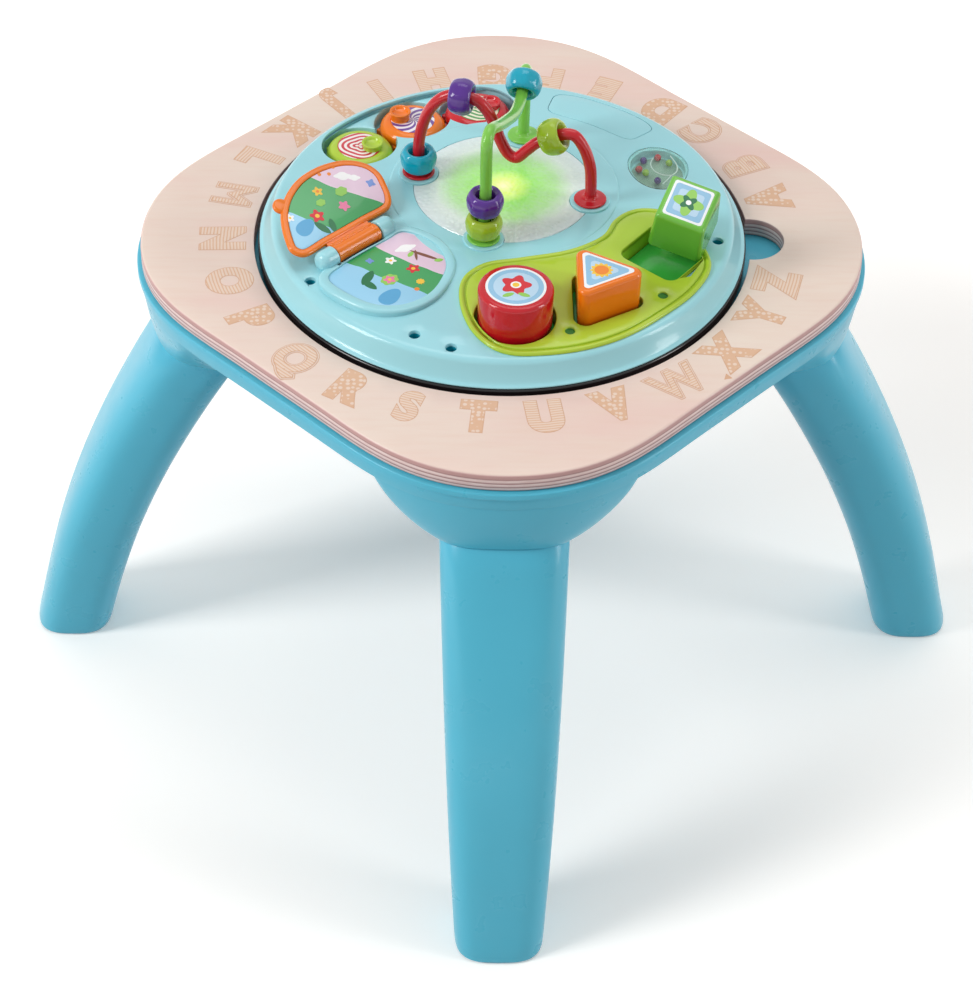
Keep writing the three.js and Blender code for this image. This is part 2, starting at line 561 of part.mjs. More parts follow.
// The housing's outer or inner skin, as a turned profile taken in by a wall.
function panelSkin(wall, foot) {
  const face = wall > 0 ? 'inner' : 'outer';
  const shoulder = shoulderAngles[face].map((angle) => [
    panel.shoulderReach + (panel.shoulder - wall) * Math.cos(angle * degree),
    domeHeight(panel.shoulderReach) - panel.shoulder + (panel.shoulder - wall) * Math.sin(angle * degree)]);
  const crown = domeStationShares[face].map((share) => [
    panel.domeRadius * share, domeHeight(panel.domeRadius * share) - wall]);
  const side = wall > 0
    ? [[panel.skirtReach - wall, flangeTop]]
    : [[panel.sideFoot, flangeTop + gap], [panel.flangeReach, flangeTop],
      [panel.flangeReach, flangeTop - panel.flange], [panel.skirtReach, flangeTop - panel.flange]];
  return turned([...crown, ...shoulder, ...side, [panel.skirtReach - wall, foot], [0, foot]]);
}

const gearAzimuth = (step) => gear.middle + step * gear.spread;
const gearCentre = (step) => polar(gear.orbit, gearAzimuth(step));

// The bay that the gears run in: a pocket round each gear and the strip of floor outside them.
function gearBayShape(grow, low, high) {
  const pockets = [-1, 0, 1].map((step) => {
    const centre = gearCentre(step);
    const radius = gear.tip + gearBay.clearance + grow;
    return disc(radius, low, high, { x: centre.x, y: centre.y, sides: mediumSides });
  });
  const from = gearAzimuth(-1);
  const to = gearAzimuth(1);
  const arc = steps(smallSides + 1).map((i) => (
    polar(gearBay.edge + grow, THREE.MathUtils.lerp(from, to, i / smallSides))));
  const strip = prism([...arc, polar(gear.orbit, to), polar(gear.orbit, (from + to) / 2), polar(gear.orbit, from)],
    low, high);
  return joined([...pockets, strip]).intersect(disc(gearBay.edge + grow, low, high));
}

// Moves a shape from the book's own axes, u along the hinge and w towards the page, to the panel.
const bookMatrix = new THREE.Matrix4().makeTranslation(book.x, book.y, bookAxis)
  .multiply(new THREE.Matrix4().makeRotationZ(book.azimuth));

function along(profile, matrix, sides = smallSides) {
  const points = profile.map(([radius, u]) => new THREE.Vector2(radius, u));
  return solid(new THREE.LatheGeometry(points, sides).rotateZ(-Math.PI / 2).applyMatrix4(matrix));
}

function earShape(side) {
  const from = page.barrelHalf + slack;
  const to = from + ear.length;
  const nose = steps(roundSteps + 1).map((i) => {
    const angle = (i / roundSteps) * (Math.PI / 2);
    return [ear.radius - ear.round * (1 - Math.cos(angle)), to - ear.round + ear.round * Math.sin(angle)];
  });
  const profile = [[0, from], [ear.radius, from], ...nose, [0, to]];
  return along(profile.map(([radius, u]) => [radius, u * side]), bookMatrix);
}

function padShape(points, low, high) {
  return prism(points, low, high, new THREE.Matrix4().makeTranslation(0, 0, -bookAxis).premultiply(bookMatrix));
}

const padLine = smoothLine(padShares, pad.halfWidth, pad.depth, pad.sides);
const trayLine = smoothLine(trayShares, panel.domeRadius, panel.domeRadius, tray.sides);
const rattleLine = steps(mediumSides).map((i) => {
  const angle = (2 * Math.PI * i) / mediumSides;
  return new THREE.Vector3(
    rattle.x + rattle.halfX * Math.cos(angle) * (1 + rattle.egg * Math.sin(angle)),
    rattle.y + rattle.halfY * Math.sin(angle), 0);
});
const plateLine = steps(mediumSides).map((i) => {
  const angle = (2 * Math.PI * i) / mediumSides;
  return polar(
    plate.radius + plate.halfDepth * power(Math.cos(angle), 2 / plate.square),
    plate.azimuth + plate.spread * power(Math.sin(angle), 2 / plate.square));
});

// A ring of a block's section, round or with rounded corners, grown by an amount.
function blockRing(socket, grow, z) {
  const half = socket.half + grow;
  if (socket.corners === 0) {
    return circle(half, mediumSides).map((p) => p.setZ(z));
  }
  const round = Math.max(socket.corner + grow, socket.corner / 2);
  const reach = (half - round) / Math.cos(Math.PI / socket.corners);
  const perCorner = block.sides / socket.corners;
  return steps(socket.corners).flatMap((k) => {
    const middle = (2 * Math.PI * k) / socket.corners;
    return steps(perCorner).map((i) => {
      const angle = middle + (Math.PI / socket.corners) * ((2 * i) / (perCorner - 1) - 1);
      return polar(reach, middle).add(polar(round, angle)).setZ(z);
    });
  });
}

// Puts a ring at its socket's place on the tray.
function seated(ring, socket) {
  const place = polar(tray.orbit, socket.azimuth);
  const turn = socket.turn;
  return ring.map((p) => new THREE.Vector3(
    place.x + p.x * Math.cos(turn) - p.y * Math.sin(turn), place.y + p.x * Math.sin(turn) + p.y * Math.cos(turn),
    p.z));
}

function socketShape(socket, grow, low, high) {
  return loft([seated(blockRing(socket, grow, low), socket), seated(blockRing(socket, grow, high), socket)]);
}

const mazeFoot = (arm, side) => polar(side * maze.arm, arm.azimuth).add(new THREE.Vector3(maze.x, maze.y, 0));
const mazeFeet = [redWire, greenWire].flatMap((arm) => [-1, 1].map((side) => mazeFoot(arm, side)));
const plateauTop = domeTop - maze.plateauSink;
const bossTop = plateauTop + maze.bossRise;
const mazeDisc = (radius, low, high, sides = roundSides) => disc(
  radius, low, high, { x: maze.x, y: maze.y, sides });

function makePanelTop() {
  const bayFloor = gearFoot - gap;
  const linings = [
    gearBayShape(panel.wall, bayFloor - panel.wall, domeTop),
    prism(grown(rattleLine, rattle.cup), rattleFloor - rattle.cup, domeTop),
    mazeDisc(lens.radius + lens.ledge, gearTop, domeTop),
  ];
  const hollow = without(panelSkin(panel.wall, panelFoot - overrun), linings);
  const plateau = turned([
    [0, gearTop], [maze.plateau, gearTop], [maze.plateau, plateauTop - maze.edge],
    [maze.plateau - maze.edge, plateauTop], [0, plateauTop]], { x: maze.x, y: maze.y });
  const padBlock = padShape(grown(padLine, pad.border), padTop - pad.thickness, padTop);
  const bosses = mazeFeet.map((foot) => disc(
    maze.boss, gearTop, bossTop, { x: foot.x, y: foot.y, sides: smallSides }));
  const posts = gears.map(({ step }) => {
    const centre = gearCentre(step);
    return disc(gear.post, bayFloor - gap, gearFoot + gear.postHeight, {
      x: centre.x, y: centre.y, sides: smallSides });
  });
  const cutters = [
    padShape(padLine, padTop - pad.recess, padTop + overrun),
    aboveDome(rattleLine, -rattle.glass - gap),
    prism(grown(rattleLine, -rattle.cup), rattleFloor, domeTop + overrun),
    aboveDome(grown(plateLine, gap), -plate.thickness - gap),
    mazeDisc(lens.radius + gap, plateauTop - lens.thickness - gap, domeTop + overrun).subtract(joined(bosses)),
    mazeDisc(lens.radius - lens.ledge, deckTop, domeTop + overrun).subtract(joined(bosses)),
    ...mazeFeet.map((foot) => disc(
      wire.radius + gap, deckTop, domeTop + overrun, { x: foot.x, y: foot.y, sides: smallSides })),
    ...sockets.map((socket) => socketShape(
      socket, socket.room + tray.cupWall + slack, deckTop, domeTop + overrun)),
    ...holeShares.map(([x, y]) => disc(holes.radius, gearTop - pad.thickness, domeTop + overrun, {
      x: x * panel.domeRadius, y: y * panel.domeRadius, sides: postSides })),
    along([[0, -page.barrelHalf - slack], [page.barrel + slack, -page.barrelHalf - slack],
      [page.barrel + slack, page.barrelHalf + slack], [0, page.barrelHalf + slack]], bookMatrix, mediumSides),
  ];
  const bay = gearBayShape(0, bayFloor, domeTop + overrun);
  const ears = [-1, 1].map(earShape);
  const pin = along([[0, -pinHalf - gap], [ear.pin + gap, -pinHalf - gap], [ear.pin + gap, pinHalf + gap],
    [0, pinHalf + gap]], bookMatrix);
  const outside = joined([panelSkin(0, panelFoot), plateau, padBlock, ...bosses]);
  const body = without(outside, [hollow, ...cutters, bay]);
  return joined([body, ...posts, ...ears]).subtract(pin);
}

const pinHalf = page.barrelHalf + slack + ear.length / 2;

// The dished base with the battery bay, board posts, switch recess and loudspeaker grille.
function makePanelBase() {
  const rimTop = panelFoot + base.wall;
  const dish = turned([
    [0, baseBottom], [base.radius - base.wall, baseBottom], [base.radius, baseBottom + base.wall],
    [base.radius, panelFoot], [base.rimReach, panelFoot], [base.rimReach, rimTop],
    [base.radius - base.wall, rimTop], [base.radius - base.wall, baseFloorTop], [0, baseFloorTop]]);
  const [low, high] = bayBox();
  const bayBlock = box(
    low.clone().subScalar(bay.wall).setZ(baseBottom), high.clone().addScalar(bay.wall));
  const bayHollow = box(low.clone().setZ(baseBottom - overrun), high);
  const doorSeat = box(
    new THREE.Vector3(low.x - door.margin - gap, low.y - door.margin - gap, baseBottom - overrun),
    new THREE.Vector3(high.x + door.margin + gap, high.y + door.margin + gap, baseBottom + door.thickness + gap));
  const doorLand = box(
    new THREE.Vector3(low.x - 2 * door.margin, low.y - 2 * door.margin, baseBottom),
    new THREE.Vector3(high.x + 2 * door.margin, high.y + 2 * door.margin,
      baseBottom + door.thickness + base.wall + gap));
  const boardPosts = keyBoardPosts().map((p) => disc(
    base.postRadius, baseBottom + gap, keyBoardTop - keyBoard.thickness - gap, {
      x: p.x, y: p.y, sides: postSides }));
  const lightPosts = steps(light.posts).map((i) => {
    const spot = polar(light.radius - base.postRadius, (2 * Math.PI * (i + 0.5)) / light.posts);
    return disc(base.postRadius, baseBottom + gap, lightFoot - gap, {
      x: maze.x + spot.x, y: maze.y + spot.y, sides: postSides });
  });
  const grille = steps(speaker.grilleHoles + 1).map((i) => {
    const spot = polar(i === 0 ? 0 : speaker.grilleRing, (2 * Math.PI * i) / speaker.grilleHoles);
    return disc(speaker.grille, baseBottom - overrun, baseFloorTop + overrun / 2, {
      x: speaker.x + spot.x, y: speaker.y + spot.y, sides: screwSides });
  });
  const roofTop = baseBottom + slider.recess + slider.roof;
  const roomX = slider.knob / 2 + slider.travel + slack;
  const roomY = slider.knob / 2 + slack;
  const switchBlock = sliderBox(roomX + base.wall, roomY + base.wall, baseBottom, roofTop);
  const switchRecess = sliderBox(roomX, roomY, baseBottom - overrun, baseBottom + slider.recess);
  const switchSlot = sliderBox(
    slider.stem / 2 + slider.travel + slack, slider.stem / 2 + slack, baseBottom, roofTop + overrun);
  return without(joined([dish, bayBlock, doorLand, switchBlock, ...boardPosts, ...lightPosts]), [
    bayHollow, doorSeat, switchRecess, switchSlot, ...grille]);
}

function sliderBox(halfX, halfY, low, high) {
  return box(
    new THREE.Vector3(slider.x - halfX, slider.y - halfY, low),
    new THREE.Vector3(slider.x + halfX, slider.y + halfY, high));
}

// The space for the batteries, lying side by side along X.
function bayBox() {
  const halfX = battery.length / 2 + bay.room;
  const halfY = (battery.pitch * (battery.count - 1)) / 2 + battery.radius + bay.room;
  const floor = baseBottom + door.thickness + gap;
  return [
    new THREE.Vector3(battery.x - halfX, battery.y - halfY, floor),
    new THREE.Vector3(battery.x + halfX, battery.y + halfY, floor + 2 * battery.radius + bay.room)];
}

function makeBattery(index) {
  const y = battery.y + (index - (battery.count - 1) / 2) * battery.pitch;
  const z = baseBottom + door.thickness + 2 * gap + battery.radius;
  const half = battery.length / 2;
  return along([
    [0, -half], [battery.radius, -half], [battery.radius, half - battery.cap / 2],
    [battery.cap, half - battery.cap / 2], [battery.cap, half],
    [0, half]], new THREE.Matrix4().makeTranslation(battery.x, y, z));
}

function makeDoor() {
  const [low, high] = bayBox();
  return box(
    new THREE.Vector3(low.x - door.margin, low.y - door.margin, baseBottom),
    new THREE.Vector3(high.x + door.margin, high.y + door.margin, baseBottom + door.thickness));
}

function makeSlider() {
  const half = slider.knob / 2;
  const knobTop = baseBottom + slider.recess - gap;
  const roofTop = baseBottom + slider.recess + slider.roof;
  return joined([
    sliderBox(half, half, baseBottom + gap, knobTop),
    sliderBox(slider.stem / 2, slider.stem / 2, knobTop - gap, roofTop + slider.headHeight),
    sliderBox(slider.head / 2, slider.head / 2, roofTop + gap, roofTop + gap + slider.headHeight)]);
}

const lightFoot = domeTop - light.below;

// The translucent disc over the lamps, slightly crowned and cut round the bosses.
function makeLens() {
  const foot = plateauTop - lens.thickness;
  const station = [lens.radius * lens.stationShare, plateauTop + lens.crown * (1 - lens.stationShare ** 2)];
  const shape = turned([
    [0, foot], [lens.radius, foot], [lens.radius, plateauTop], station, [0, plateauTop + lens.crown],
  ], { x: maze.x, y: maze.y });
  const room = mazeFeet.map((spot) => disc(
    maze.boss + gap, deckTop, domeTop + overrun, { x: spot.x, y: spot.y, sides: smallSides }));
  return without(shape, room);
}

function makeLightBoard() {
  const board = mazeDisc(light.radius, lightFoot, lightFoot + light.thickness, mediumSides);
  const leds = steps(light.leds).map((i) => {
    const spot = polar(light.ledRing, (2 * Math.PI * i) / light.leds);
    const centre = new THREE.Vector3(maze.x + spot.x, maze.y + spot.y, lightFoot + light.thickness);
    return ball(light.led, centre, roundSteps);
  });
  return joined([board, ...leds]).subtract(mazeDisc(light.radius, lightFoot - overrun, lightFoot, mediumSides));
}

function keyBoardPosts() {
  return steps(keyBoard.posts).map((i) => {
    const share = (i + 0.5) / keyBoard.posts;
    return polar(tray.orbit, THREE.MathUtils.lerp(keyBoard.from, keyBoard.to, share));
  });
}

function makeKeyBoard() {
  const angles = steps(smallSides + 1).map((i) => (
    THREE.MathUtils.lerp(keyBoard.from, keyBoard.to, i / smallSides)));
  const outer = angles.map((angle) => polar(tray.orbit + keyBoard.halfDepth, angle));
  const inner = angles.reverse().map((angle) => polar(tray.orbit - keyBoard.halfDepth, angle));
  return prism([...outer, ...inner], keyBoardTop - keyBoard.thickness, keyBoardTop);
}

function makeSpeaker() {
  const foot = baseFloorTop + gap;
  const neck = foot + speaker.height / 2;
  return turned([
    [0, foot + speaker.rim], [speaker.magnet, foot + speaker.rim], [speaker.radius - speaker.rim, foot],
    [speaker.radius, foot], [speaker.radius, foot + speaker.rim], [speaker.magnet, neck],
    [speaker.magnet, foot + speaker.height], [0, foot + speaker.height]],
  { x: speaker.x, y: speaker.y, sides: mediumSides });
}

// The middle line of a bent wire, from one root to the other.
function wirePath(arm) {
  const direction = polar(1, arm.azimuth);
  const sideways = polar(1, arm.azimuth - Math.PI / 2);
  const points = arm.shares.map(([s, up, lateral]) => new THREE.Vector3(maze.x, maze.y, bossTop + up * arm.rise)
    .addScaledVector(direction, s * maze.arm).addScaledVector(sideways, lateral * maze.arm));
  points[0].setZ(bossTop - wire.rootDepth);
  points[points.length - 1].setZ(bossTop - wire.rootDepth);
  return new THREE.CatmullRomCurve3(points, false, 'centripetal');
}

// A bent wire with a turned flange on each boss and its roots below.
function makeWire(arm) {
  const section = new THREE.Shape(circle(wire.radius, wire.sides).map((p) => new THREE.Vector2(p.x, p.y)));
  const tube = solid(new THREE.ExtrudeGeometry(section, { extrudePath: wirePath(arm), steps: wire.steps }));
  const flanges = [-1, 1].map((side) => {
    const low = bossTop + gap;
    const end = mazeFoot(arm, side);
    return turned([
      [0, low], [wire.flange, low], [wire.flange, low + wire.flangeHeight / 2],
      [wire.radius + wire.bite, low + wire.flangeHeight], [0, low + wire.flangeHeight]],
    { x: end.x, y: end.y, sides: smallSides + 2 });
  });
  return joined([tube, ...flanges]);
}

// A bead with an oval section, so that its bore flares to both ends and it can ride a bend.
function makeBead(place) {
  const middle = (bead.radius + bead.bore) / 2;
  const half = (bead.radius - bead.bore) / 2;
  const ring = steps(bead.rings).map((i) => {
    const angle = (2 * Math.PI * i) / bead.rings;
    return new THREE.Vector2(middle - half * Math.cos(angle), bead.halfWidth * Math.sin(angle));
  });
  // The bead lies along the chord that its bore spans and hangs a little off the wire.
  const path = wirePath(place.wire);
  const reach = bead.reach / path.getLength();
  const [before, at, after] = [-reach, 0, reach].map((step) => path.getPointAt(place.share + step));
  const centre = before.clone().add(after).add(at).divideScalar(3);
  const chord = after.clone().sub(before).normalize();
  centre.z -= bead.hang * (1 - Math.abs(chord.z));
  const turn = new THREE.Quaternion().setFromUnitVectors(new THREE.Vector3(0, 1, 0), chord);
  const shape = new THREE.LatheGeometry([...ring, ring[0]], smallSides).applyQuaternion(turn);
  return solid(shape.translate(centre.x, centre.y, centre.z));
}

// The gear's toothed rim, where each tooth rises and falls as a rounded wave.
function toothRadius(share) {
  const wave = 0.5 + 0.5 * Math.cos(2 * Math.PI * share);
  return gear.root + (gear.tip - gear.root) * wave ** gear.sharpness;
}

// Where a tooth of each gear points. The middle gear's is chosen and each neighbour's follows from the mesh.
function gearPhase(step) {
  const ownPhase = gear.phase;
  if (step === 0) {
    return ownPhase;
  }
  const line = gearCentre(0).sub(gearCentre(step));
  const towards = Math.atan2(line.y, line.x);
  return 2 * towards + Math.PI + Math.PI / gear.teeth - ownPhase;
}

function makeGear({ step, knobAzimuth, knobHeight }) {
  const centre = gearCentre(step);
  const pitch = (2 * Math.PI) / gear.teeth;
  const phase = gearPhase(step);
  const rim = steps(gear.teeth * gear.perTooth).map((i) => (
    polar(toothRadius(i / gear.perTooth), phase + (i / gear.perTooth) * pitch).add(centre)));
  const teeth = prism(rim, gearFoot, gearFoot + gear.toothHeight);
  const skirtFoot = gearFoot + gear.toothHeight + gear.neck;
  const crown = steps(roundSteps + 1).map((i) => {
    const angle = (i / roundSteps) * (Math.PI / 2);
    return [
      gear.flat + (gear.skirt - gear.flat) * Math.cos(angle), skirtFoot + (gearTop - skirtFoot) * Math.sin(angle)];
  });
  const neckRadius = gear.root - gap;
  const cover = turned([
    [0, gearFoot + gear.toothHeight / 2], [neckRadius, gearFoot + gear.toothHeight / 2], [neckRadius, skirtFoot],
    ...crown, [0, gearTop]], { x: centre.x, y: centre.y, sides: smallSides });
  const spot = polar(knob.reach, knobAzimuth).add(centre);
  const top = gearTop + knobHeight;
  const cup = turned([
    [0, gearTop - gap], [knob.foot, gearTop - gap], [knob.foot, gearTop + gap],
    [knob.radius, gearTop + knobHeight * knobShares.rim], [knob.radius, top], [knob.dish, top],
    [knob.dish * knobShares.dishSpan, top - knob.dishDepth * knobShares.dishDrop], [0, top - knob.dishDepth]],
  { x: spot.x, y: spot.y, sides: smallSides });
  const bore = disc(gear.post + gap, gearFoot - overrun, gearFoot + gear.postHeight + gap, {
    x: centre.x, y: centre.y, sides: smallSides });
  return joined([teeth, cover, cup]).subtract(bore);
}

// The page in its own axes: a frame with a rebate for the picture card, and the barrel that it turns on.
const pageLine = smoothLine(pageShares, page.halfWidth, page.depth, page.sides);
const pageMatrix = bookMatrix.clone().multiply(new THREE.Matrix4().makeRotationX(book.rest));

function makePage() {
  const half = page.thickness / 2;
  const tab = circle(page.tab, smallSides, tabShares.along * page.halfWidth, tabShares.away * page.depth);
  const barrel = along([[0, -page.barrelHalf], [page.barrel, -page.barrelHalf], [page.barrel, page.barrelHalf],
    [0, page.barrelHalf]], pageMatrix, mediumSides);
  const web = page.barrelHalf - gap;
  const reach = page.depth * pageShares[0][1] + page.border / 2;
  const arm = prism([
    new THREE.Vector3(-web, 0, 0), new THREE.Vector3(web, 0, 0), new THREE.Vector3(web, reach, 0),
    new THREE.Vector3(-web, reach, 0)], -half, half, pageMatrix);
  const bore = along([[0, -page.halfWidth], [ear.pin + gap, -page.halfWidth], [ear.pin + gap, page.halfWidth],
    [0, page.halfWidth]], pageMatrix);
  const plate = joined([prism(pageLine, -half, half, pageMatrix), prism(tab, -half, half, pageMatrix)]);
  const window = prism(grown(pageLine, -page.border - page.ledge), -half - overrun, half + overrun, pageMatrix);
  const rebate = prism(grown(pageLine, -page.border), half - page.rebate, half + overrun, pageMatrix);
  return without(joined([without(plate, [window, rebate]), barrel, arm]), [bore]);
}

function makeCard() {
  const half = page.thickness / 2;
  const low = half - page.rebate + gap;
  return prism(grown(pageLine, -page.border - gap), low, half - gap, pageMatrix);
}

function makePin() {
  return along([[0, -pinHalf], [ear.pin, -pinHalf], [ear.pin, pinHalf], [0, pinHalf]], bookMatrix);
}

// The tray: a crowned plate with a cup for each block, each cup with a ledge under its key.
function makeTray() {
  const sheet = domed(trayLine, gap, tray.thickness + gap);
  const top = domeTop + overrun;
  const cups = sockets.map((socket) => socketShape(socket, socket.room + tray.cupWall, cupBottom, top));
  const wells = sockets.map((socket) => socketShape(socket, socket.room, cupLedge, top));
  const mouths = sockets.map((socket) => socketShape(socket, socket.room - tray.ledge, cupBottom - overrun, top));
  const drilled = trayHoleShares.map(([x, y]) => disc(holes.radius, deckTop, top, {
    x: x * panel.domeRadius, y: y * panel.domeRadius, sides: postSides }));
  const cupWalls = joined(cups).intersect(dome(tray.thickness + gap));
  return without(joined([sheet, cupWalls]), [...wells, ...mouths, ...drilled]);
}

function makeKey(socket) {
  const plateShape = socketShape(socket, socket.room - slack, keyTop - tray.key, keyTop);
  const place = polar(tray.orbit, socket.azimuth);
  const stem = disc(tray.stem, keyBoardTop + tray.travel + gap, keyTop - tray.key / 2, {
    x: place.x, y: place.y, sides: smallSides });
  return plateShape.add(stem);
}

// A block in its own axes, with rounded edges.
function blockShape(socket) {
  const height = socket.corners === 4 ? block.cubeHeight : blockHeight;
  const spread = socket.corners === 4 ? block.draft : block.flare;
  return loft([
    blockRing(socket, -block.edge, 0), blockRing(socket, 0, block.edge),
    blockRing(socket, spread, height - block.crown),
    blockRing(socket, spread - block.crown * block.crownShare, height - block.crown * block.crownShare),
    blockRing(socket, spread - block.crown, height)]);
}

function placeBlock(socket, material) {
  const mesh = meshOf(`block_${socket.name}`, blockShape(socket), material);
  if (socket.corners === 4) {
    mesh.position.set(lean.x, lean.y, table.height + lean.aboveTop);
    mesh.quaternion.setFromAxisAngle(new THREE.Vector3(...lean.axis).normalize(), lean.angle);
  } else {
    mesh.position.copy(polar(tray.orbit, socket.azimuth, keyTop + gap));
    mesh.rotation.z = socket.turn;
  }
  return mesh;
}

function makeTrim() {
  const inner = panel.skirtReach + gap;
  const outer = inner + trim.thickness;
  const top = flangeTop - panel.flange - gap;
  return turned([
    [inner, panelFoot], [outer, panelFoot], [outer, top - trim.edge], [outer - trim.edge, top], [inner, top]]);
}

function makeBall(index) {
  const [x, y] = ballShares[index];
  const centre = new THREE.Vector3(
    rattle.x + x * rattle.halfX, rattle.y + y * rattle.halfY * rattleBall.reachShare,
    rattleFloor + gap + rattleBall.radius);
  return ball(rattleBall.radius, centre, rattleBall.rings);
}

// The table and the panel as two groups, so that the panel lifts out as one.
const activityTable = new THREE.Group();
const tableGroup = new THREE.Group();
const panelGroup = new THREE.Group();
activityTable.add(tableGroup, panelGroup);

tableGroup.add(meshOf('tabletop', makeTabletop(), finishes.wood));
tableGroup.add(meshOf('table_frame', makeFrame(), finishes.frame));
tableGroup.add(meshOf('well_floor', makeWellFloor(), finishes.frame));
for (const name of legNames) {
  tableGroup.add(meshOf(`leg_${name}`, makeLeg(name), finishes.frame));
  tableGroup.add(meshOf(`leg_screw_${name}`, aimed(legScrewShape(0), name), finishes.steel));
  tableGroup.add(meshOf(`top_screw_${name}`, topScrewShape(name, 0), finishes.steel));
}

panelGroup.add(meshOf('panel_top', makePanelTop(), finishes.panel));
panelGroup.add(meshOf('panel_base', makePanelBase(), finishes.panel));
panelGroup.add(meshOf('trim_ring', makeTrim(), finishes.black));
panelGroup.add(meshOf('blank_plate', domed(plateLine, -plate.thickness, 0), finishes.panel));
panelGroup.add(meshOf('light_lens', makeLens(), finishes.lens));
panelGroup.add(meshOf('light_board', makeLightBoard(), finishes.board));
panelGroup.add(meshOf('main_board', makeKeyBoard(), finishes.board));
panelGroup.add(meshOf('speaker', makeSpeaker(), finishes.dark));
panelGroup.add(meshOf('battery_door', makeDoor(), finishes.panel));
panelGroup.add(meshOf('power_switch', makeSlider(), finishes.dark));
for (const index of steps(battery.count)) {
  panelGroup.add(meshOf(`battery_${index + 1}`, makeBattery(index), finishes.battery));
}

panelGroup.add(meshOf('wire_red', makeWire(redWire), finishes.wireRed));
panelGroup.add(meshOf('wire_green', makeWire(greenWire), finishes.wireGreen));
for (const place of beadPlaces) {
  panelGroup.add(meshOf(place.name, makeBead(place), finishes[place.colour]));
}
for (const item of gears) {
  panelGroup.add(meshOf(item.name, makeGear(item), finishes[item.colour]));
}

panelGroup.add(meshOf('book_page', makePage(), finishes.orange));
panelGroup.add(meshOf('page_card', makeCard(), finishes.card));
panelGroup.add(meshOf('page_pin', makePin(), finishes.steel));

panelGroup.add(meshOf('shape_tray', makeTray(), finishes.lime));
for (const socket of sockets) {
  panelGroup.add(meshOf(`key_${socket.name}`, makeKey(socket), finishes.green));
  panelGroup.add(placeBlock(socket, finishes[socket.colour]));
}

panelGroup.add(meshOf('rattle_window', domed(grown(rattleLine, -gap), -rattle.glass, 0), finishes.clear));
for (const index of steps(ballColours.length)) {
  panelGroup.add(meshOf(`rattle_ball_${index + 1}`, makeBall(index), finishes[ballColours[index]]));
}

export default activityTable;
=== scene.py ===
# The looks of a toddler's activity table, built round its CAD model. Sizes are in millimetres, and become metres in the
# meshes. The origin is on the floor under the middle of the top, and the front leg is towards -Y.
import math
from types import SimpleNamespace as Sizes

import bmesh
import bpy
import numpy as np
from mathutils import Matrix, Vector
from mathutils.geometry import delaunay_2d_cdt


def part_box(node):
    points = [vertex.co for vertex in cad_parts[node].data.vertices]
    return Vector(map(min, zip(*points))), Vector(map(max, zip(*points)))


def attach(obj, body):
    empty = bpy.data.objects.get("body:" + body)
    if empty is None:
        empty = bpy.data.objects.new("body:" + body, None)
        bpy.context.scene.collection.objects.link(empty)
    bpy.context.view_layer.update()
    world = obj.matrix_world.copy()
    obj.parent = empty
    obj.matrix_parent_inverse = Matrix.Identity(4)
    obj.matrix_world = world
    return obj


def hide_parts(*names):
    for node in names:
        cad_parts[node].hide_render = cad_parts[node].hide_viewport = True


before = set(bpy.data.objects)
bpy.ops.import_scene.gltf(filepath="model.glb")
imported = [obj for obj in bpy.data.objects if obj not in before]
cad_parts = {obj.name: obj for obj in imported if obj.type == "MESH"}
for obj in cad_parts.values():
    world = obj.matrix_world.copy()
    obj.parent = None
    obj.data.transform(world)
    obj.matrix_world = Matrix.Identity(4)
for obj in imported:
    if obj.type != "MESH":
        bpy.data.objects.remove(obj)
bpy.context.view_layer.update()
MM = 0.001
DEG = math.pi / 180
TURN = 2 * math.pi
RIGHT = math.pi / 2


def low(node):
    return (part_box(node)[0] / MM).z


def high(node):
    return (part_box(node)[1] / MM).z


# Heights that the frame gives.
TOP = high("tabletop")
PLY_FOOT = low("tabletop")
DECK = high("table_frame")
PANEL_FOOT = low("panel_top")
BASE_FOOT = low("panel_base")
PLATEAU = low("light_lens") + 2
BOSS_TOP = PLATEAU + 1.4
KEY_TOP = high("key_round")

# The same driving sizes as the CAD model's.
REACH = 240
HOLE = 164.8
NOTCH = Sizes(half=22, end=187.7, azimuth=-0.7 * DEG)
PANEL_REACH = 150
DOME_RISE = 6
D = TOP + 24.1
SKIN = 2.5
MAZE = np.array([1.0, 22.0])
ARM = 58.8
WIRE = 3.9
BOSS = 13.3
BOOK = Sizes(x=-96.5, y=-42.6, azimuth=44 * DEG, axis=TOP + 25.1, rest=22 * DEG)
PAD_TOP = TOP + 23.9
GEAR = Sizes(teeth=12, orbit=122.3, spread=22.3 * DEG, middle=119.5 * DEG, tip=25, root=21.5, top=TOP + 18.1,
             foot=TOP + 5.1, tooth=4.8, flat=15.4)
TRAY = Sizes(orbit=114, wall=1.8, foot=KEY_TOP - 6.1, ledge=KEY_TOP - 4.3)
WINDOW = Sizes(x=105.5, y=49.5, half_x=20.5, half_y=25, egg=0.06, room=0.85, floor=TOP + 11.6)


# ---- points and curves
def turns(count):
    return np.arange(count) * TURN / count


def arc(radius, angles, x=0.0, y=0.0):
    return np.column_stack([x + radius * np.cos(angles), y + radius * np.sin(angles)])


def polar(radius, azimuth):
    return np.array([radius * math.cos(azimuth), radius * math.sin(azimuth)])


def circle(radius, count=96, x=0.0, y=0.0):
    return arc(radius, turns(count), x, y)


def quarter(edge, count):
    """Insets and depths round a rounded edge, from its side to its top."""
    return [(edge * (1 - math.cos(a)), edge * (1 - math.sin(a))) for a in np.linspace(0, RIGHT, count)]


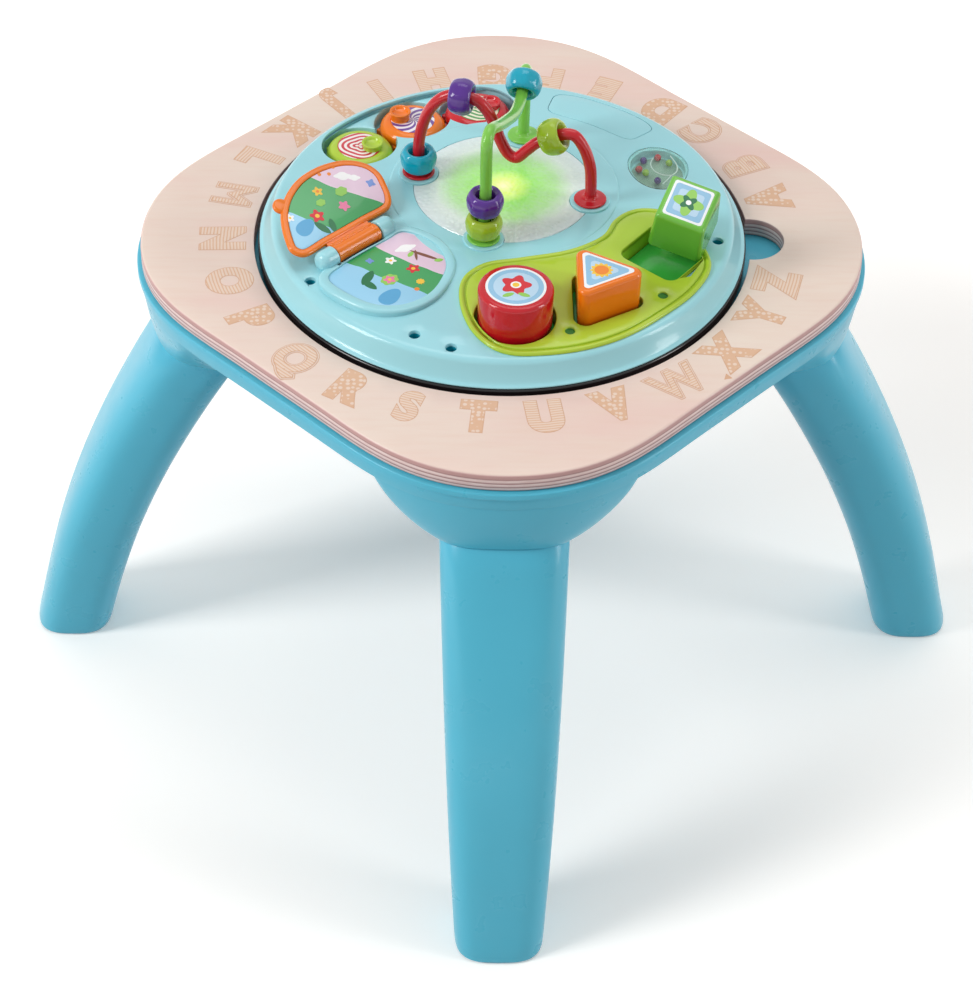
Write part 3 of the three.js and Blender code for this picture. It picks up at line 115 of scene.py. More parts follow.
def catmull(points, count, closed=False):
    """A smooth centripetal curve through points."""
    points = np.array(points, float)
    before, after = (points[-1], points[:2]) if closed else (2 * points[0] - points[1], [2 * points[-1] - points[-2]])
    held = [before, *points, *after]
    spans = len(held) - 3
    curve = []
    for t in np.linspace(0, spans, count, endpoint=not closed):
        i = min(int(t), spans - 1)
        u = t - i
        p0, p1, p2, p3 = held[i:i + 4]
        d0, d1, d2 = (max(np.linalg.norm(b - a) ** 0.5, 1e-3) for a, b in ((p0, p1), (p1, p2), (p2, p3)))
        m1 = ((p1 - p0) / d0 - (p2 - p0) / (d0 + d1) + (p2 - p1) / d1) * d1
        m2 = ((p2 - p1) / d1 - (p3 - p1) / (d1 + d2) + (p3 - p2) / d2) * d1
        curve.append(p1 + m1 * u + (3 * p2 - 3 * p1 - 2 * m1 - m2) * u ** 2 + (2 * p1 - 2 * p2 + m1 + m2) * u ** 3)
    return np.array(curve)


def even(points, count):
    """The same open curve with its points evenly spread, and its length."""
    at = np.concatenate([[0], np.cumsum(np.linalg.norm(np.diff(points, axis=0), axis=1))])
    wanted = np.linspace(0, at[-1], count)
    return np.column_stack([np.interp(wanted, at, column) for column in points.T]), at[-1]


def anticlockwise(loop):
    x, y = loop.T
    return loop if (x * np.roll(y, -1) - np.roll(x, -1) * y).sum() > 0 else loop[::-1]


def grow(loop, distance):
    """An anticlockwise outline moved outwards."""
    along = np.roll(loop, -1, 0) - np.roll(loop, 1, 0)
    along /= np.linalg.norm(along, axis=1)[:, None]
    return loop + distance * np.column_stack([along[:, 1], -along[:, 0]])


def reach_at(azimuth):
    """The table's reach from its middle, a square with round corners and bowed sides."""
    return REACH * (0.9306 + 0.0717 * np.cos(4 * azimuth) - 0.0023 * np.cos(12 * azimuth))


def outline(proud=0.0):
    angle = turns(240)
    return arc(reach_at(angle) + proud, angle)


def squircle(angle, power):
    """Unit points round a square with blunt corners."""
    return [np.sign(v) * abs(v) ** (2 / power) for v in (np.cos(angle), np.sin(angle))]


def sag(x, y):
    return -DOME_RISE * (x ** 2 + y ** 2) / PANEL_REACH ** 2


def level(loop, z, more=0.0):
    """An outline at one height, moved outwards first."""
    loop = grow(loop, more) if more else loop
    return np.column_stack([loop, np.full(len(loop), float(z))])


def on_dome(loop, offset, more=0.0):
    loop = grow(loop, more) if more else loop
    return np.column_stack([loop, D + sag(*loop.T) + offset])


# ---- solids, each a pair of vertices and faces
def loft(rings, closed=False):
    """Skins rings of equal length. Ends are capped, or joined to each other."""
    sides, count = len(rings[0]), len(rings)
    faces = []
    for i in range(count if closed else count - 1):
        a, b = i * sides, (i + 1) % count * sides
        faces += [(a + j, a + (j + 1) % sides, b + (j + 1) % sides, b + j) for j in range(sides)]
    if not closed:
        faces += [tuple(range(sides - 1, -1, -1)), tuple((count - 1) * sides + j for j in range(sides))]
    return np.vstack(rings), faces


def lathe(profile, sides=96, x=0.0, y=0.0, closed=False):
    return loft([level(circle(max(r, 0.01), sides, x, y), z) for r, z in profile], closed)


def rounded(radius, top, edge, count=5):
    """Radius and height steps round the top edge of a disc."""
    return [(radius - inset, top - depth) for inset, depth in quarter(edge, count)]


def prism(loop, foot, top, edge=0.0, count=4):
    """An outline pushed up, with a rounded top edge."""
    steps = quarter(edge, count) if edge else [(0, 0)]
    return loft([level(loop, foot)] + [level(loop, top - depth, -inset) for inset, depth in steps])


def inside(points, loop):
    x, y = points.T
    a, b = loop, np.roll(loop, -1, 0)
    dx, dy = (b - a).T[:, :, None]
    with np.errstate(divide="ignore", invalid="ignore"):
        cut = (x[None] - a[:, 0, None]) * dy < dx * (y - a[:, 1, None])
    above = b[:, 1, None] > a[:, 1, None]
    spans = (a[:, 1, None] > y) != (b[:, 1, None] > y)
    return (spans & (cut == above)).sum(0) % 2 == 1


def cap(loops, heights, step):
    """Triangles over the first loop and outside the others, with inner points for a curved face."""
    lo, hi = loops[0].min(0), loops[0].max(0)
    grid = np.array([(x + (k % 2) * step / 2, y) for k, y in enumerate(np.arange(lo[1], hi[1], step * 0.87))
                     for x in np.arange(lo[0], hi[0], step)])

    def within(points, gap):
        keep = inside(points, grow(loops[0], -gap))
        for hole in loops[1:]:
            keep &= ~inside(points, grow(hole, gap))
        return keep

    grid = grid[within(grid, step * 0.6)]
    points = np.vstack([*loops, grid])
    edges, start = [], 0
    for loop in loops:
        edges += [(start + j, start + (j + 1) % len(loop)) for j in range(len(loop))]
        start += len(loop)
    made = delaunay_2d_cdt([Vector(p) for p in points], edges, [], 0, 1e-6)
    source = [o[0] if o else -1 for o in made[3]]
    faces = np.array([[source[i] for i in f] for f in made[2]])
    faces = faces[(faces >= 0).all(1)]
    z = np.concatenate([np.full(len(loop), h) for loop, h in zip([*loops, grid], [*heights, heights[0]])])
    return np.column_stack([points, z]), faces[within(points[faces].mean(1), 0)]


def plate(outer, profile, holes=(), step=7.0, crown=None):
    """A sheet inside an outline and outside holes. Each edge has a profile of (inset, height) from its top face to its
    foot. crown(x, y) is added to every height."""
    loops = [(outer, profile, -1)] + [(hole, side, 1) for hole, side in holes]
    verts, faces = [], []
    for end in (0, -1):
        base = sum(len(v) for v in verts)
        outlines = [grow(loop, sign * side[end][0]) for loop, side, sign in loops]
        v, f = cap(outlines, [side[end][1] for _, side, _ in loops], step)
        verts.append(v)
        faces += [tuple(base + i for i in (tri if end == 0 else tri[::-1])) for tri in f]
    base, second, start = sum(len(v) for v in verts), len(verts[0]), 0
    for loop, side, sign in loops:
        n = len(loop)
        starts = [start]
        for inset, z in side[1:-1]:
            starts.append(base)
            verts.append(level(loop, z, sign * inset))
            base += n
        starts.append(second + start)
        for a, b in zip(starts, starts[1:]):
            faces += [(a + j, a + (j + 1) % n, b + (j + 1) % n, b + j) for j in range(n)]
        start += n
    verts = np.vstack(verts)
    if crown:
        verts[:, 2] += crown(verts[:, 0], verts[:, 1])
    return verts, faces


def edged(top, foot, edge, count=4):
    """The profile of a plate's edge with a rounded top."""
    return [(inset, top - depth) for inset, depth in quarter(edge, count)[::-1]] + [(0, foot)]


def below(top, *steps):
    """A profile from its insets and its depths under a top face."""
    return [(inset, top - depth) for inset, depth in steps]


def sweep(path, radius, sides=20):
    """A round bar along a path."""
    tangents = np.gradient(path, axis=0)
    tangents /= np.linalg.norm(tangents, axis=1)[:, None]
    side = np.cross(tangents[0], [0.3, 0.9, 0.1])
    rings = []
    for point, tangent in zip(path, tangents):
        side = side - tangent * side.dot(tangent)
        side /= np.linalg.norm(side)
        rings.append(point + circle(radius, sides) @ [side, np.cross(tangent, side)])
    return loft(rings)


def moved(shape, matrix):
    verts, faces = shape
    m = np.array(matrix)
    return verts @ m[:3, :3].T + m[:3, 3], faces


def turned(shape, degrees):
    return moved(shape, Matrix.Rotation(degrees * DEG, 4, "Z"))


def link(name, data):
    obj = bpy.data.objects.new(name, data)
    bpy.context.scene.collection.objects.link(obj)
    return obj


def add_piece(name, bm, material, body, replaces, slot, sharp):
    """A piece that rides on a CAD body, flat or smooth but for its sharp edges."""
    mesh = bpy.data.meshes.new(name)
    bm.to_mesh(mesh)
    bm.free()
    if sharp:
        mesh.shade_smooth()
        mesh.set_sharp_from_angle(angle=sharp * DEG)
    else:
        mesh.shade_flat()
    mesh.materials.append(material)
    piece = link(name, mesh)
    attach(piece, body)
    if replaces:
        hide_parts(*replaces.split())


def make(name, shapes, material, body, replaces, slot, sharp=38):
    """A piece from closed shapes."""
    bm = bmesh.new()
    for verts, faces in shapes:
        held = [bm.verts.new(Vector(v) * MM) for v in verts]
        for face in faces:
            bm.faces.new([held[i] for i in face])
    bmesh.ops.recalc_face_normals(bm, faces=bm.faces)
    add_piece(name, bm, material, body, replaces, slot, sharp)


# ---- materials
def colour(*rgb):
    """A screen colour as the shader's linear one."""
    return (*(c / 255 / 12.92 if c <= 10 else ((c / 255 + 0.055) / 1.055) ** 2.4 for c in rgb), 1.0)


class Nodes:
    """A node tree with short calls. A socket takes a value, or the output of another node."""

    def __init__(self, tree):
        self.tree = tree

    def put(self, node, key, value):
        if isinstance(value, bpy.types.NodeSocket):
            self.tree.links.new(value, node.inputs[key])
        else:
            node.inputs[key].default_value = value

    def add(self, kind, sockets=None, **settings):
        node = self.tree.nodes.new("ShaderNode" + kind)
        for key, value in settings.items():
            setattr(node, key, value)
        for key, value in (sockets or {}).items():
            self.put(node, key, value)
        return node

    def math(self, operation, a, b=0.0, c=0.0):
        return self.add("Math", {0: a, 1: b, 2: c}, operation=operation).outputs[0]

    def vector(self, operation, a, b=(0, 0, 0), output="Vector"):
        return self.add("VectorMath", {0: a, 1: b}, operation=operation).outputs[output]

    def split(self, value):
        return self.add("SeparateXYZ", {0: value}).outputs

    def mix(self, factor, a, b):
        return self.add("Mix", {"Factor": factor, 6: a, 7: b}, data_type="RGBA").outputs[2]

    def range(self, value, low_in, high_in, low_out=0.0, high_out=1.0):
        ends = {"From Min": low_in, "From Max": high_in, "To Min": low_out, "To Max": high_out}
        return self.add("MapRange", {"Value": value, **ends}).outputs["Result"]

    def ramp(self, value, stops, constant=False):
        node = self.add("ValToRGB", {"Fac": value})
        node.color_ramp.interpolation = "CONSTANT" if constant else "LINEAR"
        for at, rgb in stops[1:-1]:
            node.color_ramp.elements.new(at)
        for element, (at, rgb) in zip(node.color_ramp.elements, stops):
            element.position = at
            element.color = colour(*rgb)
        return node.outputs["Color"]


class Material(Nodes):
    """The node tree of a new material."""

    def __init__(self, name):
        self.material = bpy.data.materials.new(name)
        self.material.use_nodes = True
        super().__init__(self.material.node_tree)
        self.shader = self.tree.nodes["Principled BSDF"]
        self.place = self.add("TexCoord").outputs["Object"]

    def noise(self, scale, detail=2.0, stretch=None):
        source = self.vector("MULTIPLY", self.place, stretch) if stretch else self.place
        return self.add("TexNoise", {"Vector": source, "Scale": scale, "Detail": detail}).outputs["Fac"]

    def away(self, x, y):
        """The place from a centre, as its angle and distance."""
        parts = self.split(self.vector("SUBTRACT", self.place, (x * MM, y * MM, 0)))
        squares = (self.math("POWER", parts[axis], 2.0) for axis in "XY")
        return self.math("ARCTAN2", parts["Y"], parts["X"]), self.math("SQRT", self.math("ADD", *squares))

    def bump(self, height, distance):
        self.set(Normal=self.add("Bump", {"Distance": distance, "Strength": 1.0, "Height": height}).outputs["Normal"])

    def set(self, **sockets):
        """Sets the shader's sockets, and gives the material."""
        for key, value in sockets.items():
            self.put(self.shader, key.replace("_", " "), value)
        return self.material


def tinted(nodes, rgb, spread, scale=14.0):
    """A colour that drifts a little over the surface."""
    base = colour(*rgb)[:3]
    dark, light = (tuple(min(1.0, c * share) for c in base) + (1.0,) for share in (1 - spread, 1 + spread))
    return nodes.mix(nodes.noise(scale, 3.0), dark, light)


def gloss(name, rgb, roughness, coat=0.3, grain=900.0, depth=0.00001, spread=0.05):
    """Moulded plastic, with a fine grain."""
    nodes = Material(name)
    nodes.bump(nodes.noise(grain), depth)
    rough = nodes.range(nodes.noise(60.0, 3.0), 0.3, 0.7, roughness * 0.88, roughness * 1.12)
    return nodes.set(Base_Color=tinted(nodes, rgb, spread), Roughness=rough, Specular_IOR_Level=0.32,
                     Coat_Weight=coat * 0.5, Coat_Roughness=0.06)


def matt(name, rgb, roughness=0.3):
    return gloss(name, rgb, roughness, 0.0, depth=0.00002)


def metal(name, rgb, roughness):
    nodes = Material(name)
    nodes.bump(nodes.noise(700.0), 0.00001)
    rough = nodes.range(nodes.noise(300.0, 3.0), 0.3, 0.7, roughness * 0.8, roughness * 1.2)
    return nodes.set(Base_Color=tinted(nodes, rgb, 0.04, 40.0), Roughness=rough, Metallic=1.0)


GRAIN = (1.0, 9.0, 1.0)


def wood_material():
    """Pale birch with pink drifts on its face, and the stripes of its plies on the edge."""
    nodes = Material("birch_ply")
    drift = nodes.noise(5.0, 4.0, (1.0, 2.6, 1.0))
    face = nodes.ramp(drift, [(0.3, (236, 219, 205)), (0.5, (234, 212, 199)), (0.72, (233, 198, 189))])
    streak = nodes.noise(26.0, 5.0, GRAIN)
    face = nodes.mix(nodes.range(streak, 0.45, 0.75, 0.0, 0.3), face, colour(230, 198, 180))
    wobble = nodes.math("MULTIPLY_ADD", nodes.noise(30.0, 3.0, (1.0, 1.0, 4.0)), 0.0008, -0.0004)
    height = nodes.math("ADD", nodes.split(nodes.place)["Z"], wobble)
    mauve, dark, pale, rose = (196, 152, 148), (150, 108, 106), (250, 230, 225), (226, 192, 188)
    edge = nodes.ramp(nodes.range(height, PLY_FOOT * MM, TOP * MM), [
        (0.0, mauve), (0.05, dark), (0.1, rose), (0.2, pale), (0.235, mauve), (0.27, dark), (0.3, rose), (0.42, pale),
        (0.46, mauve), (0.5, dark), (0.53, rose), (0.64, pale), (0.68, rose), (0.72, dark), (0.76, mauve), (0.9, mauve),
        (0.96, rose), (1.0, pale)])
    worn = nodes.range(nodes.noise(120.0, 4.0, (1.0, 1.0, 12.0)), 0.4, 0.75, 0.0, 0.4)
    upward = nodes.split(nodes.add("NewGeometry").outputs["Normal"])["Z"]
    flat = nodes.range(nodes.math("ABSOLUTE", upward), 0.55, 0.85)
    nodes.bump(streak, 0.00006)
    return nodes.set(Base_Color=nodes.mix(flat, nodes.mix(worn, edge, colour(*mauve)), face),
                     Roughness=nodes.range(drift, 0.2, 0.8, 0.36, 0.46))


def printed(name, pattern=None):
    """Pale brown ink on wood: plain, with pale dots, or as lines round the table's middle."""
    nodes = Material(name)
    grain = nodes.noise(26.0, 5.0, GRAIN)
    shades = ((226, 184, 152), (219, 176, 145)) if pattern else ((220, 174, 142), (212, 166, 134))
    ink = nodes.mix(grain, *(colour(*shade) for shade in shades))
    if pattern == "dots":
        flat = nodes.vector("MULTIPLY", nodes.place, (1, 1, 0))
        cells = nodes.add("TexVoronoi", {"Vector": flat, "Scale": 270.0, "Randomness": 0.45})
        gap = nodes.range(cells.outputs["Distance"], 0.34, 0.4, 1.0, 0.0)
    elif pattern == "stripes":
        wavy = nodes.math("MULTIPLY_ADD", nodes.noise(70.0, 1.0), 0.0016, nodes.away(0, 0)[1])
        gap = nodes.range(nodes.math("SINE", nodes.math("MULTIPLY", wavy, 2900.0)), -0.45, -0.25)
    if pattern:
        ink = nodes.mix(gap, ink, nodes.mix(grain, colour(236, 212, 196), colour(230, 202, 184)))
    return nodes.set(Base_Color=ink, Roughness=0.5)


def lens_material():
    """Frosted plastic with pebbles, lit green from the middle."""
    nodes = Material("lit_lens")
    flat = nodes.vector("SUBTRACT", nodes.place, (MAZE[0] * MM, MAZE[1] * MM, 0))
    away = nodes.vector("LENGTH", nodes.vector("MULTIPLY", flat, (1, 1, 0)), output="Value")
    away = nodes.math("ADD", away, nodes.math("MULTIPLY_ADD", nodes.noise(90.0, 3.0), 0.006, -0.003))
    share = nodes.range(away, 0.0, 0.060)
    glow = nodes.ramp(share, [(0.0, (250, 252, 190)), (0.12, (214, 240, 110)), (0.32, (140, 214, 84)),
                              (0.58, (168, 222, 140)), (0.78, (222, 236, 226)), (1.0, (225, 238, 240))])
    pebbles = nodes.add("TexVoronoi", {"Vector": nodes.place, "Scale": 380.0}, feature="SMOOTH_F1").outputs["Distance"]
    shade = nodes.range(pebbles, 0.1, 0.7, 0.0, 0.22)
    nodes.bump(pebbles, 0.0006)
    return nodes.set(Base_Color=nodes.mix(shade, glow, colour(196, 214, 216)), Emission_Color=glow, Roughness=0.16,
                     Emission_Strength=nodes.range(share, 0.2, 0.85, 0.42, 0.0), Coat_Weight=0.4)


def clear_material():
    nodes = Material("clear_window")
    nodes.bump(nodes.noise(60.0), 0.0001)
    return nodes.set(Base_Color=nodes.mix(nodes.noise(30.0), colour(226, 238, 230), colour(238, 246, 242)),
                     Transmission_Weight=0.97, Roughness=0.02, IOR=1.2)


def gear_print(name, centre, swirl, one, two):
    """A gear's printed top: a pinwheel swirl, or rounded rings."""
    nodes = Material(name)
    angle, away = nodes.away(*centre)
    if swirl:
        wave = nodes.math("MULTIPLY", nodes.math("MULTIPLY_ADD", away, 95.0, angle), 10.0)
    else:
        lobes = nodes.math("COSINE", nodes.math("MULTIPLY", angle, 3.0))
        wave = nodes.math("MULTIPLY", nodes.math("MULTIPLY_ADD", lobes, 0.0011, away), 1650.0)
    side = nodes.range(nodes.math("SINE", wave), -0.12, 0.12)
    nodes.bump(nodes.noise(500.0), 0.00001)
    return nodes.set(Base_Color=nodes.mix(side, colour(*one), colour(*two)), Roughness=0.25, Coat_Weight=0.3)


def scene_print(name, middle, across, bands):
    """A picture's ground: bands of colour across it, with soft uneven borders."""
    nodes = Material(name)
    flat = nodes.vector("SUBTRACT", nodes.place, tuple(c * MM for c in middle))
    along = nodes.vector("DOT_PRODUCT", flat, across, "Value")
    along = nodes.math("ADD", along, nodes.math("MULTIPLY_ADD", nodes.noise(45.0, 1.0), 0.006, -0.003))
    nodes.bump(nodes.noise(400.0), 0.00001)
    return nodes.set(Base_Color=nodes.ramp(nodes.range(along, -0.05, 0.05), bands, True), Roughness=0.3,
                     Coat_Weight=0.3)


WOOD, CLEAR, LENS = wood_material(), clear_material(), lens_material()
FRAME = gloss("frame_teal", (84, 190, 217), 0.3, 0.2, 240.0, 0.000006)
PANEL = gloss("panel_aqua", (160, 219, 228), 0.2, 0.35, 1000.0, spread=0.03)
BLACK = gloss("ring_black", (12, 13, 16), 0.12, 0.4, 800.0)
LIME = gloss("lime", (178, 207, 58), 0.22)
RED = gloss("red", (200, 16, 32), 0.13, 0.4)
ORANGE = gloss("orange", (240, 122, 14), 0.16)
GREEN = gloss("leaf_green", (112, 188, 66), 0.18, 0.4)
FLOOR_GREEN = gloss("key_green", (70, 190, 80), 0.2)
PURPLE = gloss("purple", (84, 38, 140), 0.14, 0.4)
TEAL = gloss("bead_teal", (0, 164, 190), 0.14, 0.4)
OLIVE = gloss("bead_lime", (160, 190, 44), 0.16, 0.4)
COATINGS = {"green": gloss("wire_green", (126, 198, 76), 0.22), "red": gloss("wire_red", (200, 28, 40), 0.22)}
WHITE = matt("label_white", (246, 248, 250))
SKY = matt("label_blue", (150, 196, 226))
PALE_SKY = matt("label_pale_blue", (190, 219, 240))
# Dark colours for the cups under the screw holes and the tray's holes: painted shade inside the holes.
HOLE_SHADE_TEAL = matt("hole_shade_teal", (14, 156, 176), 0.4)
HOLE_SHADE_GREEN = matt("hole_green", (50, 120, 40), 0.4)
STEEL = metal("steel", (200, 203, 208), 0.3)
BOARD = matt("circuit_board", (30, 104, 60), 0.4)
DARK = matt("dark_plastic", (44, 46, 50), 0.45)
CAN = matt("battery_can", (186, 190, 196))
LEG_AZIMUTHS = {"front": -90, "right": 0, "back": 90, "left": 180}

for material, nodes in (
        (STEEL, ["page_pin", *(f"{kind}_screw_{side}" for kind in ("leg", "top") for side in LEG_AZIMUTHS)]),
        (CAN, ["battery_1", "battery_2", "battery_3"]), (BOARD, ["light_board", "main_board"]),
        (DARK, ["speaker", "power_switch"]), (PANEL, ["battery_door", "panel_base"])):
    for node in nodes:
        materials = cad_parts[node].data.materials
        materials.clear()
        materials.append(material)

# ---- the top and its printed letters
EDGE = 2.0
swing = math.asin(NOTCH.half / HOLE)
opening = np.vstack([
    arc(HOLE, np.linspace(NOTCH.azimuth + swing, NOTCH.azimuth + TURN - swing, 220)),
    arc(NOTCH.half, NOTCH.azimuth + np.linspace(-RIGHT, RIGHT, 40), *polar(NOTCH.end - NOTCH.half, NOTCH.azimuth))])
hole_profile = below(TOP, (0.8, 0), (0.2, 0.25), (0, 0.8)) + [(0, PLY_FOOT + 0.5), (0.5, PLY_FOOT)]
edge_profile = edged(TOP, PLY_FOOT + EDGE, EDGE, 6) + [(0.6, PLY_FOOT + 0.6), (EDGE, PLY_FOOT)]
make("tabletop_ply", [plate(outline(), edge_profile, [(opening, hole_profile)], 12.0)], WOOD, "table", "tabletop",
     "plywood")

LETTER_SIZE, LETTER_ORBIT, LETTER_WIDTH = 36, 187, 0.86
FLAT_TUBE = 0.03
LETTER_AZIMUTHS = dict(zip("ABCDEFGHIJKLMNOPQRSTUVWXYZ", (
    13.6, 25.6, 40.5, 52.1, 66.1, 78.3, 90.7, 104.4, 116.5, 127.3, 140.2, 152.5, 166.4, 181.6, 195.8, 208.6, 224.3,
    237.8, 250.8, 264.4, 277.4, 291.2, 305.7, 319.5, 333.8, 344.8)))
PATTERNS = {"dots": "ADGJKPRTVXY", "stripes": "EFHILNOSUZ", "nested": "BCMQW"}


def letter_meshes(text, bold, lift):
    """A flat letter, made bolder by a flattened tube along its outline."""
    azimuth = LETTER_AZIMUTHS[text] * DEG
    place = Matrix.Translation(Vector((*polar(LETTER_ORBIT, azimuth), TOP + lift)) * MM)
    for tube in (False, True):
        curve = bpy.data.curves.new("glyph", "FONT")
        curve.body = text
        curve.size = LETTER_SIZE * MM
        curve.align_x = curve.align_y = "CENTER"
        curve.resolution_u = 6
        curve.offset = (0.0 if text in "MSW" else 1.0) * MM
        if tube:
            curve.fill_mode = "NONE"
            curve.bevel_depth = bold * MM
            curve.bevel_resolution = 2
        else:
            curve.extrude = FLAT_TUBE * MM
        obj = link("glyph", curve)
        bpy.context.view_layer.update()
        mesh = bpy.data.meshes.new_from_object(obj.evaluated_get(bpy.context.evaluated_depsgraph_get()))
        squash = Matrix.Diagonal((LETTER_WIDTH, 1, FLAT_TUBE / bold if tube else 1, 1))
        mesh.transform(place @ Matrix.Rotation(azimuth + RIGHT, 4, "Z") @ squash)
        bpy.data.objects.remove(obj)
        yield mesh


def joined_letters(name, letters, bold, lift, material):
    bm = bmesh.new()
    for letter in letters:
        for mesh in letter_meshes(letter, bold, lift):
            bm.from_mesh(mesh)
    bmesh.ops.remove_doubles(bm, verts=bm.verts, dist=1e-7)
    add_piece(name, bm, material, "table", "", "plywood", None)


OUTLINE_INK = printed("ink_outline")
DOTTED_INK, STRIPED_INK = (printed(f"ink_{pattern}", pattern) for pattern in ("dots", "stripes"))
joined_letters("letters_outline", "".join(PATTERNS.values()), 2.4, 0.03, OUTLINE_INK)
joined_letters("letters_dots", PATTERNS["dots"], 1.8, 0.11, DOTTED_INK)
joined_letters("letters_stripes", PATTERNS["stripes"], 1.8, 0.11, STRIPED_INK)
for layer, (bold, material) in enumerate(((1.8, WOOD), (1.1, OUTLINE_INK), (0.4, STRIPED_INK))):
    joined_letters(f"letters_nested_{layer + 1}", PATTERNS["nested"], bold, 0.11 + 0.08 * layer, material)
mark = np.array([(-2.6, -2.6), (2.8, -1.2), (-1.0, 3.4)]) + (140.2, -145.4)
make("border_mark", [prism(mark, TOP - 0.1, TOP + 0.08)], OUTLINE_INK, "table", "", "plywood")


# ---- the frame: lip, skirt, floor of the well, bowls and legs
def lean(degrees):
    return np.array([math.sin(degrees * DEG), -math.cos(degrees * DEG)])


LEG_HEAD, LEG_FOOT = np.array([181.7, 301.5]), np.array([309.3, 0])
CONTROL = LEG_HEAD, LEG_HEAD + 177.2 * lean(32.6), LEG_FOOT - 68.7 * lean(14.5), LEG_FOOT
COLLAR, COLLAR_NORMAL = np.array([201, DECK - 64.8]), -lean(16.2)
# Half sizes of a leg at its collar, and what each loses down to the foot.
LEG_HALF, LEG_LOSS = np.array([29.4, 41.5]), np.array([3.4, 12])
BOWL = Sizes(middle=170, ahead=90, behind=44, half=91, shoulder=DECK - 13, bulge=1.35)


def leg_line(t):
    """The place on a leg's middle line, and its direction."""
    a, b, c, d = CONTROL
    point = (1 - t) ** 3 * a + 3 * (1 - t) ** 2 * t * b + 3 * (1 - t) * t * t * c + t ** 3 * d
    slope = 3 * (1 - t) ** 2 * (b - a) + 6 * (1 - t) * t * (c - b) + 3 * t * t * (d - c)
    return point, slope / np.linalg.norm(slope)


collar_share = next(t for t in np.linspace(0, 1, 2001) if (leg_line(t)[0] - COLLAR).dot(COLLAR_NORMAL) <= 0)


def leg_ring(t, inset=0.0, sides=64):
    (x, z), (sx, sz) = leg_line(t)
    half = LEG_HALF - LEG_LOSS * (t - collar_share) / (1 - collar_share) - inset
    u, v = (share * size for share, size in zip(squircle(turns(sides), 3.0), half))
    return np.column_stack([x - sz * u, v, z + sx * u]), np.array([sx, 0, sz])


def cut_ring(t, inset, point, normal, sides=64):
    """A ring with its points slid along the leg onto a plane."""
    ring, along = leg_ring(t, inset, sides)
    point, normal = (np.array([p[0], 0, p[1]]) for p in (point, normal))
    return ring - np.outer((ring - point) @ normal / (along @ normal), along)


def collar_ring(inset, lift, sides=64):
    return cut_ring(collar_share, inset, COLLAR + (0, lift), COLLAR_NORMAL, sides)


def leg_shape():
    head, foot = ((3.0, 1.5), (1.2, -0.3), (0.3, -0.6), (0.0, -1.4)), ((0, 3.0), (0.4, 1.4), (1.4, 0.4), (2.8, 0.0))
    return loft([*(collar_ring(*step) for step in head),
                 *(leg_ring(t)[0] for t in np.linspace(collar_share + 0.06, 0.955, 36)),
                 *(cut_ring(1.0, inset, (0, z), (0, 1)) for inset, z in foot)])


def bowl_shape(sides=96):
    foot = collar_ring(-0.8, 0, sides)
    c, s = np.cos(turns(sides)), np.sin(turns(sides))
    rim = np.column_stack([BOWL.middle + np.where(c > 0, BOWL.ahead, BOWL.behind) * c, BOWL.half * s])
    length = np.linalg.norm(rim, axis=1)
    limit = reach_at(np.arctan2(rim[:, 1], rim[:, 0])) + 0.4
    rim *= (np.minimum(length, limit) / length)[:, None]
    rings = [level(rim, DECK - 3)]
    for a in np.linspace(0, RIGHT, 22):
        wide, deep = math.cos(a) ** (2 / BOWL.bulge), math.sin(a) ** (2 / BOWL.bulge)
        spread = foot[:, :2] + (rim - foot[:, :2]) * wide
        rings.append(np.column_stack([spread, BOWL.shoulder + (foot[:, 2] - BOWL.shoulder) * deep]))
    return loft([*rings, collar_ring(0.6, 0.4, sides)])


lip = plate(outline(3.0), edged(DECK, DECK - 4.2, 1.0) + below(DECK, (0.8, 5), (5, 5), (5.5, 3)),
            [(circle(150, 160), below(DECK, (0, 0), (0, 3)))], 40.0)
skirt = loft([level(outline(1.0 - inset), DECK - drop) for inset, drop in (
    (0, 4.0), (0, 13.6), (0.25, 14.15), (0.8, 14.4), (2.6, 14.4), (3, 13.8), (3, 4.0))], True)
bar = np.array([(151, -1.2), (205, -1.2), (205, 1.2), (151, 1.2)])
ribs = [turned(prism(bar, DECK - 11.7, DECK - 2.8), corner + side)
        for corner in (45, 135, 225, 315) for side in (-13, 13)]
well_foot, well_floor = BASE_FOOT - 3.3, BASE_FOOT - 0.3
well = lathe([(154, DECK - 2), (154, well_foot), (0, well_foot), (0, well_floor), (150, well_floor), (150, DECK - 2)],
             160, closed=True)
bowls = [turned(bowl_shape(), azimuth) for azimuth in LEG_AZIMUTHS.values()]
make("frame_moulding", [lip, skirt, well, *ribs, *bowls], FRAME, "table", "table_frame well_floor", "teal_plastic")
for name, azimuth in LEG_AZIMUTHS.items():
    make(f"leg_{name}_tube", [turned(leg_shape(), azimuth)], FRAME, "table", f"leg_{name}", "teal_plastic")

